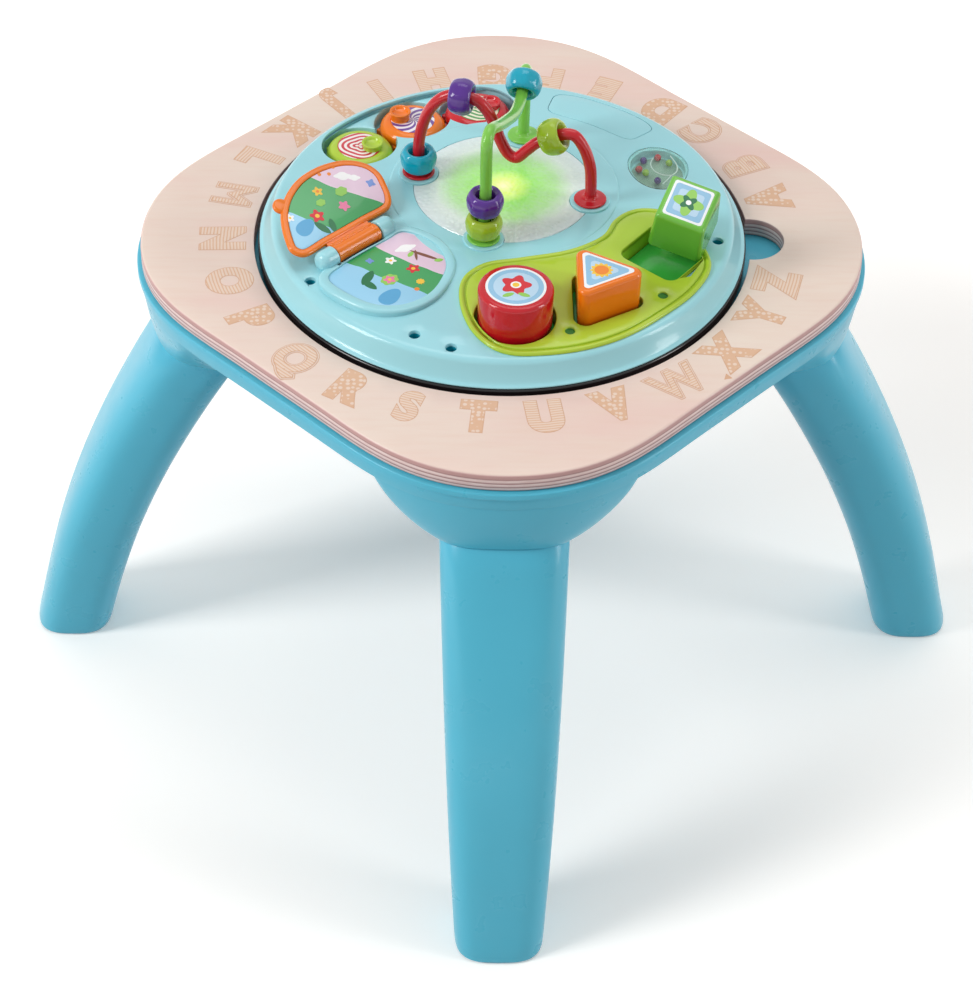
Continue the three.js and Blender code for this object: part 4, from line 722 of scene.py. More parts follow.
# ---- the panel's housing
# Each run has the share of the arm ahead, the share of the rise and the share of the arm aside.
WIRES = {
    "red": Sizes(azimuth=-14.8 * DEG, rise=66, run=[
        (-1, 0, 0), (-1, 0.24, 0), (-0.985, 0.45, 0), (-0.885, 0.76, 0), (-0.74, 0.94, 0), (-0.605, 1, 0),
        (-0.345, 0.985, 0), (-0.22, 0.885, 0), (-0.13, 0.735, 0), (-0.05, 0.545, 0), (0.045, 0.4, 0), (0.13, 0.37, 0),
        (0.255, 0.485, 0), (0.385, 0.605, 0), (0.69, 0.75, 0), (0.79, 0.745, 0), (0.9, 0.62, 0), (0.98, 0.41, 0),
        (1, 0.21, 0), (1, 0, 0)]),
    "green": Sizes(azimuth=76 * DEG, rise=79, run=[
        (-1, 0, 0), (-1, 0.1, 0), (-1, 0.5, 0.015), (-1, 0.84, 0.015), (-0.975, 0.95, 0.013), (-0.87, 1, 0.015),
        (-0.73, 0.965, 0.027), (-0.54, 0.892, 0.04), (-0.2, 0.777, 0.061), (0.1, 0.69, 0.075), (0.34, 0.657, 0.07),
        (0.49, 0.667, 0.065), (0.61, 0.7, 0.06), (0.74, 0.755, 0.053), (0.85, 0.76, 0.035), (0.95, 0.69, 0.015),
        (1, 0.57, 0.005), (1, 0.2, 0), (1, 0, 0)]),
}
FEET = {name: [MAZE + side * polar(ARM, wire.azimuth) for side in (-1, 1)] for name, wire in WIRES.items()}


def bitten(radius, bite):
    """The circle round the maze's middle less a circle round each wire's foot."""
    azimuths = sorted(math.atan2(*(foot - MAZE)[::-1]) for pair in FEET.values() for foot in pair)
    half = math.acos((radius ** 2 + ARM ** 2 - bite ** 2) / (2 * radius * ARM))
    back = math.acos((bite ** 2 + ARM ** 2 - radius ** 2) / (2 * bite * ARM))
    arcs = []
    for azimuth, following in zip(azimuths, [*azimuths[1:], azimuths[0] + TURN]):
        inward = azimuth + math.pi
        arcs += [arc(bite, np.linspace(inward + back, inward - back, 26), *(MAZE + polar(ARM, azimuth))),
                 arc(radius, np.linspace(azimuth + half, following - half, 30)[1:-1], *MAZE)]
    return np.vstack(arcs)


GEAR_CENTRES = {step: polar(GEAR.orbit, GEAR.middle + step * GEAR.spread) for step in (-1, 0, 1)}


def bay_outline(edge=148.0):
    """The three gears' pockets and the strip of floor outside them, anticlockwise."""
    pocket = GEAR.tip + 0.8
    first, last = GEAR.middle - GEAR.spread, GEAR.middle + GEAR.spread
    parts = [arc(edge, np.linspace(first, last, 60))]
    start, cusp = last, None
    for step in (1, 0, -1):
        centre = GEAR_CENTRES[step]
        if cusp is not None:
            start = math.atan2(*(cusp - centre)[::-1])
        end = first
        if step > -1:
            other = GEAR_CENTRES[step - 1]
            middle, half = (centre + other) / 2, np.linalg.norm(centre - other) / 2
            cusp = middle * (1 - math.sqrt(pocket ** 2 - half ** 2) / np.linalg.norm(middle))
            end = math.atan2(*(cusp - centre)[::-1])
        wall = arc(pocket, np.linspace(start, start + (end - start) % TURN, 40)[1:-1], *centre)
        parts.append(wall[np.linalg.norm(wall, axis=1) < edge - 0.05])
        if step > -1:
            parts.append([cusp])
    return np.vstack(parts)


def gears_outline(radius):
    """The outline of three overlapping circles round the gears."""
    middles = list(GEAR_CENTRES.values())

    def part(k, side=0):
        loop = circle(radius, 180, *middles[k])
        keep = np.all([np.linalg.norm(loop - other, axis=1) > radius for i, other in enumerate(middles) if i != k], 0)
        keep &= side * (np.linalg.norm(loop, axis=1) - GEAR.orbit) >= 0
        start = int(np.argmax(keep & ~np.roll(keep, 1)))
        return np.roll(loop, -start, 0)[np.roll(keep, -start)]

    return np.vstack([part(0), part(1, 1), part(2), part(1, -1)])


def smooth_outline(points, count, scale):
    return anticlockwise(catmull(points, count, True) * scale)


angle = turns(96)
RATTLE_LINE = np.column_stack([WINDOW.x + WINDOW.half_x * np.cos(angle) * (1 + WINDOW.egg * np.sin(angle)),
                               WINDOW.y + WINDOW.half_y * np.sin(angle)])
PLATE_LINE = np.array([polar(131.5 + 14.5 * c, (58.5 + 16 * s) * DEG) for c, s in zip(*squircle(angle, 5))])
TRAY_LINE = smooth_outline([
    (-0.195, -0.654), (-0.18, -0.51), (-0.092, -0.415), (0.075, -0.372), (0.253, -0.325), (0.343, -0.28),
    (0.435, -0.203), (0.483, -0.099), (0.549, -0.029), (0.623, -0.001), (0.74, -0.02), (0.83, -0.11), (0.875, -0.25),
    (0.896, -0.379), (0.823, -0.548), (0.675, -0.717), (0.495, -0.868), (0.32, -0.95), (0.149, -0.985),
    (0.021, -0.985), (-0.063, -0.945), (-0.148, -0.833)], 220, PANEL_REACH)
PAD_LINE = smooth_outline([
    (-0.5, -0.13), (0.48, -0.13), (0.87, -0.16), (1, -0.46), (0.82, -0.74), (0.45, -0.9), (-0.08, -0.99),
    (-0.62, -0.9), (-0.89, -0.69), (-0.95, -0.22)], 150, (39, 70))
PAGE_LINE = smooth_outline([
    (-0.3, 0.15), (-0.72, 0.16), (-0.81, 0.28), (-0.76, 0.43), (-0.6, 0.67), (-0.39, 0.84), (-0.06, 0.97), (0.23, 1),
    (0.47, 0.98), (0.7, 0.92), (0.87, 0.82), (0.97, 0.7), (1, 0.56), (0.95, 0.4), (0.88, 0.26), (0.76, 0.16),
    (0.3, 0.15)], 200, (51.5, 60))
SOCKETS = {
    "round": Sizes(corners=0, half=23.6, corner=0, room=2.4, azimuth=-87 * DEG, turn=0),
    "triangle": Sizes(corners=3, half=15, corner=5, room=2.4, azimuth=-58 * DEG, turn=0),
    "square": Sizes(corners=4, half=18.65, corner=4, room=3, azimuth=-24.4 * DEG, turn=7 * DEG),
}


def block_ring(socket, more):
    """A block's outline round its own middle."""
    half = socket.half + more
    if not socket.corners:
        return circle(half)
    bend, swing = max(socket.corner + more, socket.corner / 2), math.pi / socket.corners
    reach = (half - bend) / math.cos(swing)
    return np.vstack([arc(bend, np.linspace(middle - swing, middle + swing, 14), *polar(reach, middle))
                      for middle in turns(socket.corners)])


def socket_ring(socket, more=0.0):
    """The outline of a socket, in its place in the tray."""
    c, s = math.cos(socket.turn), math.sin(socket.turn)
    return block_ring(socket, socket.room + more) @ np.array([[c, s], [-s, c]]) + polar(TRAY.orbit, socket.azimuth)


BOOK_AXES = Matrix.Translation((BOOK.x, BOOK.y, BOOK.axis)) @ Matrix.Rotation(BOOK.azimuth, 4, "Z")
PAGE_AXES = BOOK_AXES @ Matrix.Rotation(BOOK.rest, 4, "X")
PAD_AXES = BOOK_AXES @ Matrix.Translation((0, 0, -BOOK.axis))


def rod(profile, axes, sides=48):
    """A turned shape along the hinge, from rows of radius and place."""
    return moved(lathe(profile, sides), axes @ Matrix.Rotation(RIGHT, 4, "Y"))


SHOULDER, SHOULDER_RADIUS = 148.5, 5.5
shoulder_middle = D + sag(SHOULDER, 0) - SHOULDER_RADIUS
side = [(SHOULDER + SHOULDER_RADIUS * math.cos(a), shoulder_middle + SHOULDER_RADIUS * math.sin(a))
        for a in np.linspace(90, 12, 9) * DEG]
side += [(radius, TOP + z) for radius, z in (
    (156.0, 9.1), (157.6, 5.9), (158.5, 4.3), (159.3, 3.5), (160.5, 3.1), (160.95, 2.7), (161, 2.2), (160.7, 1.7),
    (158.2, 1.7))]
side += [(158.2, PANEL_FOOT), (155.7, PANEL_FOOT), (155.7, TOP + 2.5), (151.2, TOP + 12.7), (148.5, TOP + 14.7),
         (146.5, D + sag(146.5, 0) - SKIN)]
side = [(SHOULDER - r, z - sag(r, 0)) for r, z in side]
soft_hole = below(D, (0.5, 0), (0.15, 0.15), (0, 0.5), (0, SKIN))
slight_hole = below(D, (0.2, 0), (0, 0.2), (0, SKIN))
straight_hole = below(D, (0, 0), (0, SKIN))
trough = np.array([(BOOK_AXES @ Vector((19.1 * u, 6.6 * w, 0)))[:2] for u, w in ((1, 1), (-1, 1), (-1, -1), (1, -1))])
trough = anticlockwise(np.vstack([np.linspace(a, b, 8)[:-1] for a, b in zip(trough, np.roll(trough, -1, 0))]))
screw_holes = PANEL_REACH * np.array([(-0.832, -0.490), (-0.383, -0.852), (-0.230, -0.934), (0.937, -0.19)])
SCREW_HOLE = 3.6
bay = bay_outline()
skin = plate(circle(SHOULDER, 256), side, [
    (circle(74.4, 120, *MAZE), straight_hole), (bay, slight_hole), (RATTLE_LINE, soft_hole),
    (grow(PLATE_LINE, 0.35), slight_hole), (trough, straight_hole),
    *((socket_ring(socket, 2.0), straight_hole) for socket in SOCKETS.values()),
    *((circle(SCREW_HOLE, 28, *place), below(D, (0.8, 0), (0.25, 0.25), (0, 0.8), (0, SKIN))) for place in screw_holes),
], 6.0, sag)

plateau = plate(circle(77, 160, *MAZE), edged(PLATEAU, PLATEAU - 7, 1.6, 6), [
    (bitten(60.3, BOSS), below(PLATEAU, (0.3, 0), (0, 0.3), (0, 7)))], 9.0)
boss_profile = [(0, PLATEAU - 5), (BOSS, PLATEAU - 5), *rounded(BOSS, BOSS_TOP, 0.7), (0, BOSS_TOP)]
bosses = [lathe(boss_profile, 64, *foot) for pair in FEET.values() for foot in pair]

# The pad's rim runs straight along the trough of the hinge.
pad_rim = grow(PAD_LINE, 6.5)
pad_rim[(abs(pad_rim[:, 0]) < 19.6) & (pad_rim[:, 1] > -6.8), 1] = -6.8
pad = plate(pad_rim, edged(PAD_TOP, PAD_TOP - 7.5, 2.2, 7), [
    (PAD_LINE, below(PAD_TOP, (0.45, 0), (0.1, 0.2), (0, 0.6), (0, 7.5)))], 9.0)
pad_floor = prism(grow(PAD_LINE, 0.6), PAD_TOP - 7.4, PAD_TOP - 1.2)
trough_floor = loft([level(trough, TOP + 15.6, 2), level(trough, TOP + 19.3, 2), level(trough, TOP + 19.3),
                     level(trough, TOP + 17.9)])
ears = [rod([(0, sign * 19.1), (6.6, sign * 19.1), (7, sign * 19.5),
             *((7 - inset, sign * (32.1 - depth)) for inset, depth in quarter(5, 10)), (0, sign * 32.1)], BOOK_AXES)
        for sign in (-1, 1)]
bay_floor = GEAR.foot - 0.3
cup = [level(bay, bay_floor - 2.5, 2.0), on_dome(bay, -3.2, 2.0), on_dome(bay, -3.2), on_dome(bay, -1.5),
       level(bay, bay_floor + 1.0), level(bay, bay_floor + 0.3, -0.3), level(bay, bay_floor, -1.0)]
cup[1][:, 2] -= np.maximum(0, np.linalg.norm(cup[1][:, :2], axis=1) - 148)
shelf_top, shelf_foot = TOP + 14.5, bay_floor - 0.5
shelf_edge = below(shelf_top, (1.2, 0), (0.4, 0.35), (0, 1.2)) + [(0, shelf_foot)]
bay_shelf = plate(grow(bay, 0.3), [(0, shelf_top), (0, shelf_foot)], [(gears_outline(26.4), shelf_edge)], 4.0)
rattle_wall = grow(RATTLE_LINE, -2)
rattle_cup = loft([
    level(rattle_wall, WINDOW.floor - 4, 4), on_dome(rattle_wall, -1.95, 4), on_dome(rattle_wall, -1.95),
    *(level(rattle_wall, WINDOW.floor + z, inset) for inset, z in ((0, 1.5), (-0.45, 0.45), (-1.5, 0)))])
plate_seat = plate(grow(PLATE_LINE, 2), below(D, (0, 1.35), (0, SKIN - 0.1)), [], 8.0, sag)
make("panel_housing", [skin, plateau, *bosses, moved(pad, PAD_AXES), moved(pad_floor, PAD_AXES), trough_floor, *ears,
                       loft(cup), bay_shelf, rattle_cup, plate_seat], PANEL, "panel", "panel_top", "aqua_plastic", 32)


def blind_cup(place, radius, depth, skin):
    """The floor and wall of a blind hole, under a sheet that is as thick as skin."""
    top = D + sag(*place) - skin + 0.1
    return lathe([(0, top - depth - 0.8), (radius + 1, top - depth - 0.8), (radius + 1, top), (radius + 0.02, top),
                  (radius + 0.02, top - depth + 0.6), (radius - 0.6, top - depth), (0, top - depth)], 28, *place)


# The screw holes' cups are dark teal, a painted shade in the holes.
make("screw_hole_cups", [blind_cup(place, SCREW_HOLE, 4.5, SKIN) for place in screw_holes], HOLE_SHADE_TEAL, "panel", "",
     "aqua_plastic")
plate_profile = below(D, (0.6, 0), (0.15, 0.15), (0, 0.6), (0, 1))
make("plate_cover", [plate(PLATE_LINE, plate_profile, [], 7.0, sag)], PANEL, "panel", "blank_plate", "aqua_plastic")
ring_in, ring_out, ring_top = 158.5, 162.0, TOP + 1.4
make("trim_ring_gloss", [lathe([(ring_in, PANEL_FOOT), (ring_out, PANEL_FOOT), *rounded(ring_out, ring_top, 1.3, 7),
                                (ring_in, ring_top)], 220, closed=True)], BLACK, "panel", "trim_ring", "black_gloss")


# ---- the lens, the wires and the beads
def lens_crown(x, y):
    return 1.2 * np.maximum(0, 1 - ((x - MAZE[0]) ** 2 + (y - MAZE[1]) ** 2) / 60 ** 2)


make("lens_frosted", [plate(bitten(60.0, BOSS + 0.3), below(PLATEAU, (0.4, 0), (0, 0.4), (0, 2)), [], 5.0, lens_crown)],
     LENS, "panel", "light_lens", "lens_plastic")


def wire_path(wire, count=1400):
    """Even points along a wire, and its length."""
    ahead, aside = polar(ARM, wire.azimuth), polar(ARM, wire.azimuth - RIGHT)
    points = [(*(MAZE + s * ahead + side * aside), BOSS_TOP + rise * wire.rise) for s, rise, side in wire.run]
    for end in (0, -1):
        points[end] = (*points[end][:2], BOSS_TOP - 8)
    return even(catmull(points, count), count)


PATHS = {name: wire_path(wire) for name, wire in WIRES.items()}
FLANGE = [(0, 0), (10.5, 0), (10.8, 0.3), (10.8, 0.9), (10.5, 1.25), (9.4, 1.45), (6.4, 1.75), (5.0, 2.1), (4.3, 2.9),
          (3.9, 4.2), (0, 4.2)]
for name in WIRES:
    flanges = [lathe([(r, BOSS_TOP + 0.3 + z) for r, z in FLANGE], 64, *foot) for foot in FEET[name]]
    make(f"wire_{name}_bar", [sweep(PATHS[name][0][::7], WIRE, 28), *flanges], COATINGS[name], "panel", f"wire_{name}",
         f"{name}_coating", 50)


def at_share(name, share):
    path = PATHS[name][0]
    spot = share * (len(path) - 1)
    i = min(int(spot), len(path) - 2)
    return path[i] + (spot - i) * (path[i + 1] - path[i])


BEAD = Sizes(middle=8.75, tube=3.75, half=7.4)


def bead(name, share):
    """A bead with eight soft sides and a wavy step round its middle."""
    reach = 6 / PATHS[name][1]
    before, at, after = (at_share(name, share + s) for s in (-reach, 0, reach))
    centre = (before + at + after) / 3
    chord = (after - before) / np.linalg.norm(after - before)
    centre[2] -= 0.4 * (1 - abs(chord[2]))
    around = turns(96)
    rings = []
    for a in turns(40):
        out, h = -math.cos(a), math.sin(a)
        step = 1 / (1 + np.exp(-(h - 0.14 * np.sin(4 * around + 0.6)) * 26))
        radius = BEAD.middle + BEAD.tube * out + max(0.0, out) * (0.22 * np.cos(8 * around) - 0.3 - 0.32 * (1 - step))
        rings.append(level(arc(radius, around), BEAD.half * h))
    axes = Vector((0, 0, 1)).rotation_difference(Vector(chord)).to_matrix().to_4x4()
    return moved(loft(rings, True), Matrix.Translation(Vector(centre)) @ axes)


for node, wire, share, material, slot in (
        ("bead_teal_left", "red", 0.073, TEAL, "teal_gloss"), ("bead_purple_top", "red", 0.343, PURPLE, "purple_gloss"),
        ("bead_lime_right", "red", 0.707, OLIVE, "lime_gloss"), ("bead_teal_top", "green", 0.69, TEAL, "teal_gloss"),
        ("bead_lime_front", "green", 0.07, OLIVE, "lime_gloss"),
        ("bead_purple_front", "green", 0.136, PURPLE, "purple_gloss")):
    make(f"{node}_ring", [bead(wire, share)], material, node, node, slot, 60)


# ---- the gears
def gear_shapes(step, knob, height):
    x, y = centre = GEAR_CENTRES[step]
    phase = GEAR.middle
    if step:
        line = GEAR_CENTRES[0] - centre
        phase = 2 * math.atan2(line[1], line[0]) + math.pi + math.pi / GEAR.teeth - GEAR.middle
    share = np.arange(GEAR.teeth * 20) / 20
    radius = GEAR.root + (GEAR.tip - GEAR.root) * (0.5 + 0.5 * np.cos(TURN * share)) ** 1.6
    rim = arc(radius, phase + share * TURN / GEAR.teeth, x, y)
    teeth = prism(rim, GEAR.foot, GEAR.foot + GEAR.tooth, 0.8)
    neck, face = GEAR.foot + 5.5, GEAR.top - 0.25
    crown = [(GEAR.flat + 7.3 * math.cos(a), neck + (GEAR.top - neck) * math.sin(a)) for a in np.linspace(0, RIGHT, 14)]
    cover = lathe([(0, neck - 3), (21.2, neck - 3), (21.2, neck), *crown, (GEAR.flat - 0.3, face), (0, face)], 120,
                  x, y)
    cup_foot = [(0, -1), (6.6, -1), (6.4, 0.3), (6.3, 1)]
    cup_head = [(7.0, -1.6), (7.3, -0.7), (7.1, -0.15), (6.6, 0), (5.9, -0.1), (5.4, -0.5), (4.6, -1.8), (2.7, -2.5),
                (0, -2.6)]
    cup = lathe([*((r, GEAR.top + z) for r, z in cup_foot), *((r, GEAR.top + height + z) for r, z in cup_head)], 64,
                *(centre + polar(8.8, knob * DEG)))
    return [teeth, cover, cup]


for name, step, knob, height, material, pattern, swirl, one, two in (
        ("red", -1, 15, 4.5, RED, "rings", False, (238, 236, 208), (72, 150, 84)),
        ("orange", 0, 170, 6.5, ORANGE, "swirl", True, (112, 72, 160), (244, 240, 246)),
        ("green", 1, -10, 4.5, LIME, "lobes", False, (206, 44, 62), (250, 240, 238))):
    node = f"gear_{name}"
    slot = "lime_gloss" if name == "green" else f"{name}_gloss"
    make(f"{node}_wheel", gear_shapes(step, knob, height), material, node, node, slot)
    card = lathe(below(GEAR.top, (0, 0.35), (14.9, 0.35), (14.9, 0.05), (14.6, 0), (0, 0)), 96, *GEAR_CENTRES[step])
    make(f"{node}_print", [card], gear_print(f"print_{pattern}", GEAR_CENTRES[step], swirl, one, two), node, "",
         "printed_card")

# ---- the book
HALF = 2.0
both_edges = [(1.6, HALF), (0.8, HALF - 0.25), (0.25, HALF - 0.8), (0, HALF - 1.5)]
both_edges += [(inset, -z) for inset, z in both_edges[::-1]]
window = grow(PAGE_LINE, -4.6)
page_frame = plate(PAGE_LINE, both_edges, [(window, below(HALF, (0.5, 0), (0.1, 0.15), (0, 0.5), (0, 2 * HALF)))], 12.0)
ledge = loft([level(window, z, more) for more, z in (
    (0.8, -1.9), (0.8, -0.2), (-1.8, -0.2), (-1.8, -1.6), (-1.5, -1.9))], True)
tab_line = circle(5.5, 48, -0.47 * 51.5, 48)
tab = loft([level(tab_line, z, -i) for i, z in ((1.5, -1.9), (0.4, -1.4), (0, -0.7), (0, 0.7), (0.4, 1.4), (1.5, 1.9))])
arm_u, arm_w = 17.9, 9.6
arm = prism(np.array([(-arm_u, 0), (arm_u, 0), (arm_u, arm_w), (-arm_u, arm_w)]), -1.7, 1.2)


def both_ways(*rows):
    """Rows of radius and distance from the middle, as a profile along the hinge."""
    return [(r, -at) for r, at in rows] + [(r, at) for r, at in rows[::-1]]


ridge = rod(both_ways((0, 17.6), (1.1, 17.6), (1.5, 17.2)), PAGE_AXES @ Matrix.Translation((0, 5.2, 2.6)), 24)
barrel = rod(both_ways((0, 18.5), (5.4, 18.5), (6, 17.9), (6, 15.2), (5.7, 15.0)), PAGE_AXES, 64)
make("page_frame", [*(moved(shape, PAGE_AXES) for shape in (page_frame, ledge, tab, arm)), barrel, ridge], ORANGE,
     "page", "book_page", "orange_gloss")

WATER, MEADOW, BLUSH = (150, 208, 238), (52, 160, 86), (234, 206, 226)
page_ground = scene_print(
    "picture_page", PAGE_AXES @ Vector((2, 34, 1.7)), Vector(BOOK_AXES.to_3x3() @ Vector((0.78, 0.62, 0))),
    [(0.0, WATER), (0.33, MEADOW), (0.66, BLUSH), (1.0, BLUSH)])
pad_ground = scene_print(
    "picture_pad", BOOK_AXES @ Vector((0, -38, PAD_TOP - 1.2 - BOOK.axis)), Vector((0.55, 0.83, 0)),
    [(0.0, WATER), (0.42, MEADOW), (0.64, BLUSH), (1.0, BLUSH)])
make("page_picture", [moved(prism(grow(window, -0.3), 0.1, 1.7, 0.15), PAGE_AXES)], page_ground, "page", "page_card",
     "printed_card")
make("pad_picture", [moved(prism(grow(PAD_LINE, -0.5), PAD_TOP - 1.3, PAD_TOP - 0.95, 0.1), PAD_AXES)], pad_ground,
     "panel", "", "printed_card")


# ---- printed motifs, each a thin shape laid on its picture
def turned_loop(loop, turn, x, y):
    c, s = math.cos(turn), math.sin(turn)
    return loop @ np.array([[c, s], [-s, c]]) + (x, y)


def blob(radius, lobes=0, depth=0.0, x=0.0, y=0.0, stretch=1.0, turn=0.0):
    a = turns(80)
    return turned_loop(arc(radius * (1 + depth * np.cos(lobes * a)), a) * (stretch, 1), turn, x, y)


def leaf(length, width, x=0.0, y=0.0, turn=0.0):
    t = np.linspace(0, math.pi, 24)
    upper = np.column_stack([-length / 2 * np.cos(t), width / 2 * np.sin(t) ** 1.4])
    return anticlockwise(turned_loop(np.vstack([upper, -upper[1:-1]])[::-1], turn, x, y))


def flower(x, y, radius, petals, middle, turn=0.0):
    return [(petals, blob(radius, 5, 0.24, x, y, turn=turn)), (middle, blob(radius * 0.36, 0, 0, x, y))]


INKS = {name: gloss(f"ink_{name}", rgb, 0.32, 0.2, 700.0, 0.000005, 0.04) for name, rgb in {
    "white": (250, 250, 250), "yellow": (246, 200, 70), "pink": (238, 130, 170), "blue": (120, 150, 214),
    "dark_green": (28, 112, 66), "brown": (128, 78, 60), "light_green": (150, 206, 92), "red": (214, 44, 56),
    "orange": (242, 140, 50), "deep_blue": (92, 170, 216)}.items()}


def motifs(name, items, place, base, body):
    """Shapes of one colour become one piece, each a little above the one before."""
    groups = {}
    for layer, (shade, loop) in enumerate(items):
        top = base + 0.02 * (layer % 8) + 0.06
        groups.setdefault(shade, []).append(moved(prism(loop, base - 0.1, top), place))
    for shade, shapes in groups.items():
        make(f"{name}_{shade}", shapes, INKS[shade], body, "", "printed_card")


motifs("page_motif", [
    ("deep_blue", blob(5.2, 3, 0.05, -22, 26, 1.5, 0.3)), ("white", blob(3.0, 4, 0.12, 27, 45, 1.9, -0.5)),
    ("white", blob(2.2, 4, 0.12, 33, 40, 1.8, -0.5)), ("dark_green", leaf(13, 5, -12, 20, 1.9)),
    ("dark_green", leaf(11, 4.4, -5, 18, 1.2)), *flower(-9, 29, 4.2, "red", "yellow"),
    *flower(12, 26, 3.4, "pink", "white", 0.5), *flower(4, 44, 3.0, "yellow", "orange"),
    *flower(-26, 37, 2.6, "white", "yellow"), ("light_green", blob(3.4, 6, 0.06, 18, 36, 1.3)),
    ("light_green", blob(2.6, 6, 0.06, 0, 36, 1.3)), ("blue", leaf(7, 3.4, 40, 31, 0.6)),
    ("blue", leaf(7, 3.4, 40, 31, 2.2)),
    *(("orange", blob(1.3, 0, 0, x, y)) for x, y in ((20, 51), (26, 54), (14, 54))),
], PAGE_AXES, 1.7, "page")
motifs("pad_motif", [
    ("deep_blue", blob(6.0, 3, 0.05, -20, -54, 1.5, 0.2)), ("dark_green", leaf(16, 6.4, -17, -30, 0.4)),
    ("dark_green", leaf(13, 5.4, -21, -36, 1.6)), ("light_green", blob(5.0, 7, 0.07, -8, -41, 1.2)),
    *flower(-8, -41, 3.4, "pink", "yellow"), *flower(6, -27, 3.2, "white", "yellow", 0.4),
    *flower(11, -43, 3.8, "red", "yellow"), ("white", blob(3.4, 4, 0.12, 22, -24, 2.0, -0.3)),
    ("brown", leaf(22, 2.6, 26, -38, 1.9)), ("brown", leaf(11, 1.8, 22, -34, 0.9)),
    ("light_green", leaf(6, 3.2, 20, -31, 0.3)), ("light_green", leaf(6, 3.2, 29, -48, 2.6)),
    ("yellow", blob(2.6, 9, 0.12, 5, -56)), ("orange", blob(1.7, 0, 0, -2, -60)), ("blue", leaf(6, 3, -4, -18, 0.9)),
    ("blue", leaf(6, 3, -4, -18, 2.3)),
], PAD_AXES, PAD_TOP - 0.95, "panel")

# ---- the tray, its keys and its blocks
TRAY_RISE, TRAY_HOLE = 2.3, SCREW_HOLE - 0.4
tray_holes = PANEL_REACH * np.array([(0.269, -0.843), (0.673, -0.598)])
tray_top = D + TRAY_RISE
sockets_profile = below(tray_top, (1.0, 0), (0.3, 0.3), (0, 1.0), (0, 3.3))
drilled_profile = below(tray_top, (0.8, 0), (0.25, 0.3), (0, 0.9), (0, 3.3))
sheet = plate(grow(TRAY_LINE, -4.6), below(tray_top, (0.9, 0), (0.3, 0.25), (0, 0.8), (0, 3.3)), [
    *((socket_ring(socket), sockets_profile) for socket in SOCKETS.values()),
    *((circle(TRAY_HOLE, 28, *place), drilled_profile) for place in tray_holes)], 6.0, sag)
rim = loft([on_dome(TRAY_LINE, z, -inset) for inset, z in (
    (0, 0.3), (0, 1.2), (0.25, 1.9), (0.9, 2.4), (1.8, 2.5), (2.7, 2.35), (3.3, 1.9), (3.6, 1.2), (4.4, 0.9),
    (5.0, 0.9), (5.0, 0.3))], True)
cups = []
for socket in SOCKETS.values():
    outer, ring, inner = (socket_ring(socket, more) for more in (TRAY.wall, 0, -3))
    cups.append(loft([level(outer, TRAY.foot), on_dome(outer, 0.6), on_dome(ring, 0.6), level(ring, TRAY.ledge),
                      level(inner, TRAY.ledge), level(inner, TRAY.foot)], True))
make("tray_sheet", [sheet, rim, *cups], LIME, "panel", "shape_tray", "lime_gloss")
# The tray holes' cups are dark green, a painted shade in the holes.
make("tray_hole_shade_cups", [blind_cup(place, TRAY_HOLE, 0.7, -1.3) for place in tray_holes], HOLE_SHADE_GREEN, "panel", "",
     "lime_gloss")

KEY_STEM = below(KEY_TOP, (0, 6.4), (3, 6.4), (3, 1), (0, 1))
LEAN = Matrix.Rotation(32.5 * DEG, 4, Vector((0.71, -0.101, 0.697)))
LEAN_AXES = Matrix.Translation((116.9, -29.8, TOP + 27.4)) @ LEAN
for name, material, slot, height, flare, edge, items in (
        ("round", RED, "red_gloss", 34, 0.5, -4.4, [
            ("red", blob(8.4, 5, 0.2, 0, 1.5)), ("white", blob(3.4, 0, 0, 0, 1.5)), ("yellow", blob(2.2, 0, 0, 0, 1.5)),
            ("light_green", leaf(8, 3.4, -5, -8.5, 0.4)), ("light_green", leaf(8, 3.4, 5, -8.5, -0.4))]),
        ("triangle", ORANGE, "orange_gloss", 34, 0.5, -3.4, [("yellow", blob(6.6, 12, 0.12)), ("orange", blob(4.6))]),
        ("square", GREEN, "bright_green_gloss", 36, -1.8, -5.2, [
            ("light_green", blob(8.0, 4, 0.3, turn=0.78)), ("dark_green", blob(4.6, 4, 0.3)), ("white", blob(1.8))])):
    socket, key, block = SOCKETS[name], f"key_{name}", f"block_{name}"
    x, y = polar(TRAY.orbit, socket.azimuth)
    make(f"{key}_plate", [prism(socket_ring(socket, -0.6), KEY_TOP - 2, KEY_TOP, 0.5), lathe(KEY_STEM, 24, x, y)],
         FLOOR_GREEN, key, key, "bright_green_gloss")
    rows = [(-1.2, 0), (-0.7, 0.1), (-0.25, 0.5), (0, 1.2)]
    rows += [(flare - inset, height - depth) for inset, depth in quarter(3, 9)]
    upright = Matrix.Translation((x, y, KEY_TOP + 0.3)) @ Matrix.Rotation(socket.turn, 4, "Z")
    place = LEAN_AXES if name == "square" else upright
    body = loft([level(block_ring(socket, more), z) for more, z in rows])
    make(f"{block}_body", [moved(body, place)], material, block, block, slot, 50)
    for part, inset, z, shade in (("border", 0, 0.12, WHITE), ("field", 1.6, 0.16, SKY), ("ring", 5.0, 0.20, PALE_SKY)):
        label = prism(block_ring(socket, edge - inset), height - 0.05, height + z, 0.05)
        make(f"label_{name}_{part}", [moved(label, place)], shade, block, "", "printed_card")
    motifs(f"label_{name}_motif", items, place, height + 0.22, block)


# ---- the window with loose balls
def in_window(u, v):
    """A place in the window, from shares of its half sizes."""
    return WINDOW.x + u * WINDOW.half_x, WINDOW.y + v * WINDOW.half_y * WINDOW.room


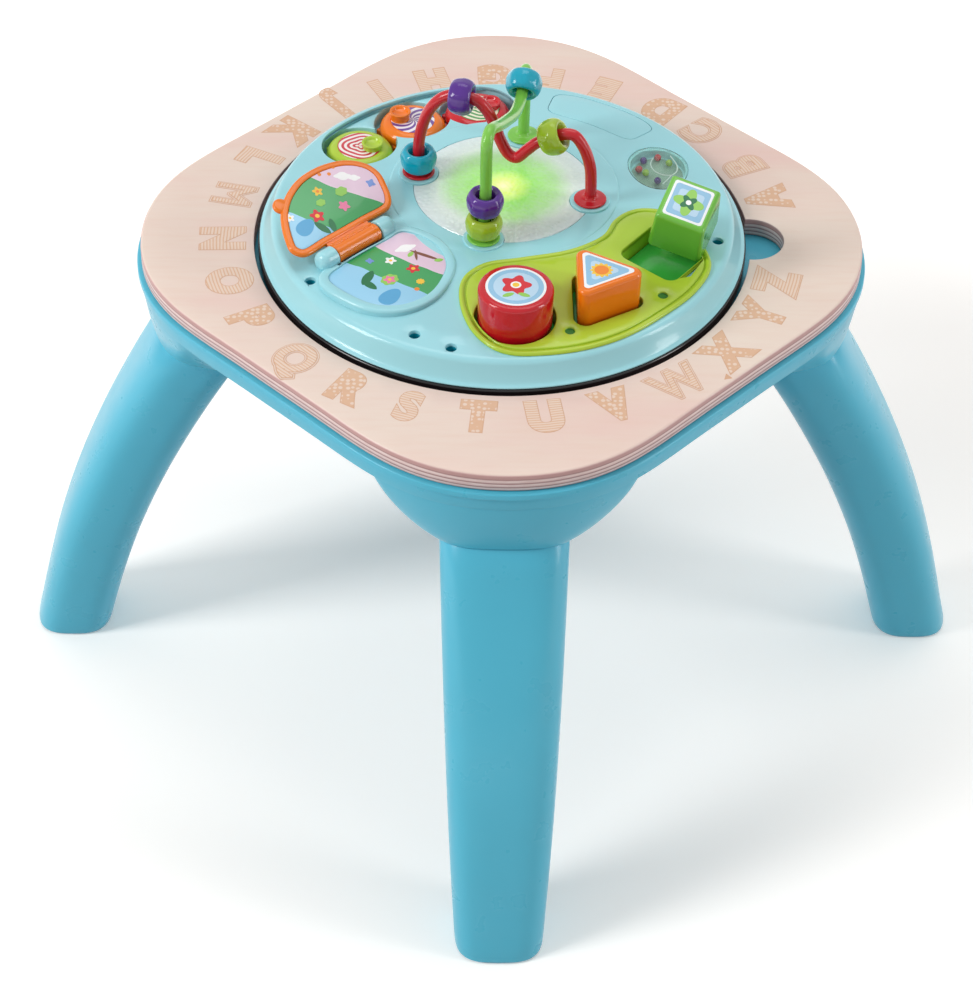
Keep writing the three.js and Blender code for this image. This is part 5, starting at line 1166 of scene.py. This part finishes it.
cover_profile = below(D, (0.5, 0), (0.1, 0.15), (0, 0.5), (0, 1.6))
make("window_clear", [plate(grow(RATTLE_LINE, -0.3), cover_profile, [], 5.0, sag)], CLEAR, "panel", "rattle_window",
     "clear_plastic")
make("rattle_floor_sheet", [prism(grow(RATTLE_LINE, -3.4), WINDOW.floor - 0.4, WINDOW.floor + 0.15, 0.05)],
     gloss("rattle_floor", (142, 170, 156), 0.3, 0.2, spread=0.18), "panel", "", "aqua_plastic")
# The cover's moulded creases, as thin ridges of pale opaque plastic: their whitish colour is a painted highlight along
# the creases.
ridges = []
for crease in ([(-0.14, 0.53), (-0.24, 0.18), (-0.12, -0.21), (0.17, -0.39), (0.41, -0.39)],
               [(0.45, 0.7), (0.63, 0.18), (0.59, -0.18), (0.41, -0.39)],
               [(0.41, -0.39), (0.26, -0.65), (0.10, -0.88)]):
    line = catmull([in_window(u, v) for u, v in crease], 28)
    ridges.append(sweep(on_dome(line, -0.12), 0.42, 10))
make("window_creases", ridges, gloss("window_crease_painted_highlight", (196, 216, 208), 0.12), "panel", "", "clear_plastic")

BALL, SEAM = 2.4, 0.04
for i, (u, v, material, slot) in enumerate((
        (0.05, 0.9, RED, "red"), (-0.43, 0.74, PURPLE, "purple"), (0.41, 0.62, OLIVE, "lime"), (-0.6, 0.27, RED, "red"),
        (-0.39, 0.08, OLIVE, "lime"), (-0.02, -0.33, PURPLE, "purple"))):
    rows = [(BALL * math.sin(a) - (SEAM if 0.47 < a / math.pi < 0.53 else 0),
             WINDOW.floor + 0.3 + BALL - BALL * math.cos(a)) for a in np.linspace(0, math.pi, 25)]
    make(f"ball_{i + 1}_seamed", [lathe(rows, 32, *in_window(u, v))], material, "panel", f"rattle_ball_{i + 1}",
         f"{slot}_gloss", 60)

# ---- camera, lights, sky and floor
SENSOR, FOCAL = 36, 2.9673
camera = link("camera", bpy.data.cameras.new("camera"))
camera.data.sensor_fit = "VERTICAL"
camera.data.sensor_height = SENSOR
camera.data.lens = SENSOR * FOCAL
camera.data.clip_end = 20
right, up, ahead = (Vector(axis) for axis in (
    (0.99979, -0.01139, 0.01706), (-0.00495, 0.67322, 0.73943), (0.01991, 0.73936, -0.67302)))
axes = Matrix((right, up, -ahead)).transposed().to_4x4()
camera.matrix_world = Matrix.Translation(Vector((-48.876, -1578.841, 1546.872)) * MM) @ axes
bpy.context.scene.camera = camera

# Places and sizes in metres, power in watts.
for name, place, target, size, power in (
        ("key", (-3.5, -1.2, 2.6), (0, 0, 0.25), (1.2, 2.4), 116),
        ("fill", (3.6, -1.0, 1.5), (0, 0, 0.2), (0.8, 2.4), 48),
        ("over", (0.3, 1.1, 4.1), (0, 0, 0.3), (3.2, 2.4), 51)):
    lamp = bpy.data.lights.new(name, "AREA")
    lamp.shape = "RECTANGLE"
    lamp.size, lamp.size_y = size
    lamp.energy = power
    obj = link(name, lamp)
    obj.location = place
    obj.rotation_euler = (Vector(target) - Vector(place)).to_track_quat("-Z", "Y").to_euler()


def seen_directly(nodes):
    """1 for what the camera sees, straight on, in gloss or through glass, and 0 for light on its way."""
    rays = nodes.add("LightPath").outputs
    seen = nodes.math("MAXIMUM", rays["Is Camera Ray"], rays["Is Glossy Ray"])
    return nodes.math("MAXIMUM", seen, rays["Is Transmission Ray"])


world = bpy.data.worlds.new("studio")
bpy.context.scene.world = world
world.use_nodes = True
world.node_tree.nodes.clear()
sky = Nodes(world.node_tree)
strength = sky.range(seen_directly(sky), 0.0, 1.0, 0.3, 1.0)
shine = sky.add("Background", {"Color": (1, 1, 1, 1), "Strength": strength})
sky.add("OutputWorld", {0: shine.outputs[0]})

# White where it is seen, grey where it lights the table, and brighter far away.
ground = Material("studio_floor")
seen = seen_directly(ground)
white = ground.mix(ground.noise(2.0), colour(255, 250, 245), colour(255, 251, 247))
far = ground.range(ground.away(0, 0)[1], 0.55, 1.7, 0.2, 1.0)
ground.set(Base_Color=ground.mix(seen, colour(196, 196, 196), white), Roughness=0.7, Emission_Color=(1, 1, 1, 1),
           Emission_Strength=ground.math("MULTIPLY", seen, far))
FLOOR = 12.0
mesh = bpy.data.meshes.new("floor")
corners = [(FLOOR * x, FLOOR * y, 0) for x, y in ((-1, -1), (1, -1), (1, 1), (-1, 1))]
mesh.from_pydata(corners, [], [(0, 1, 2, 3)])
mesh.materials.append(ground.material)
link("floor", mesh)

bpy.context.scene.view_settings.view_transform = "Standard"
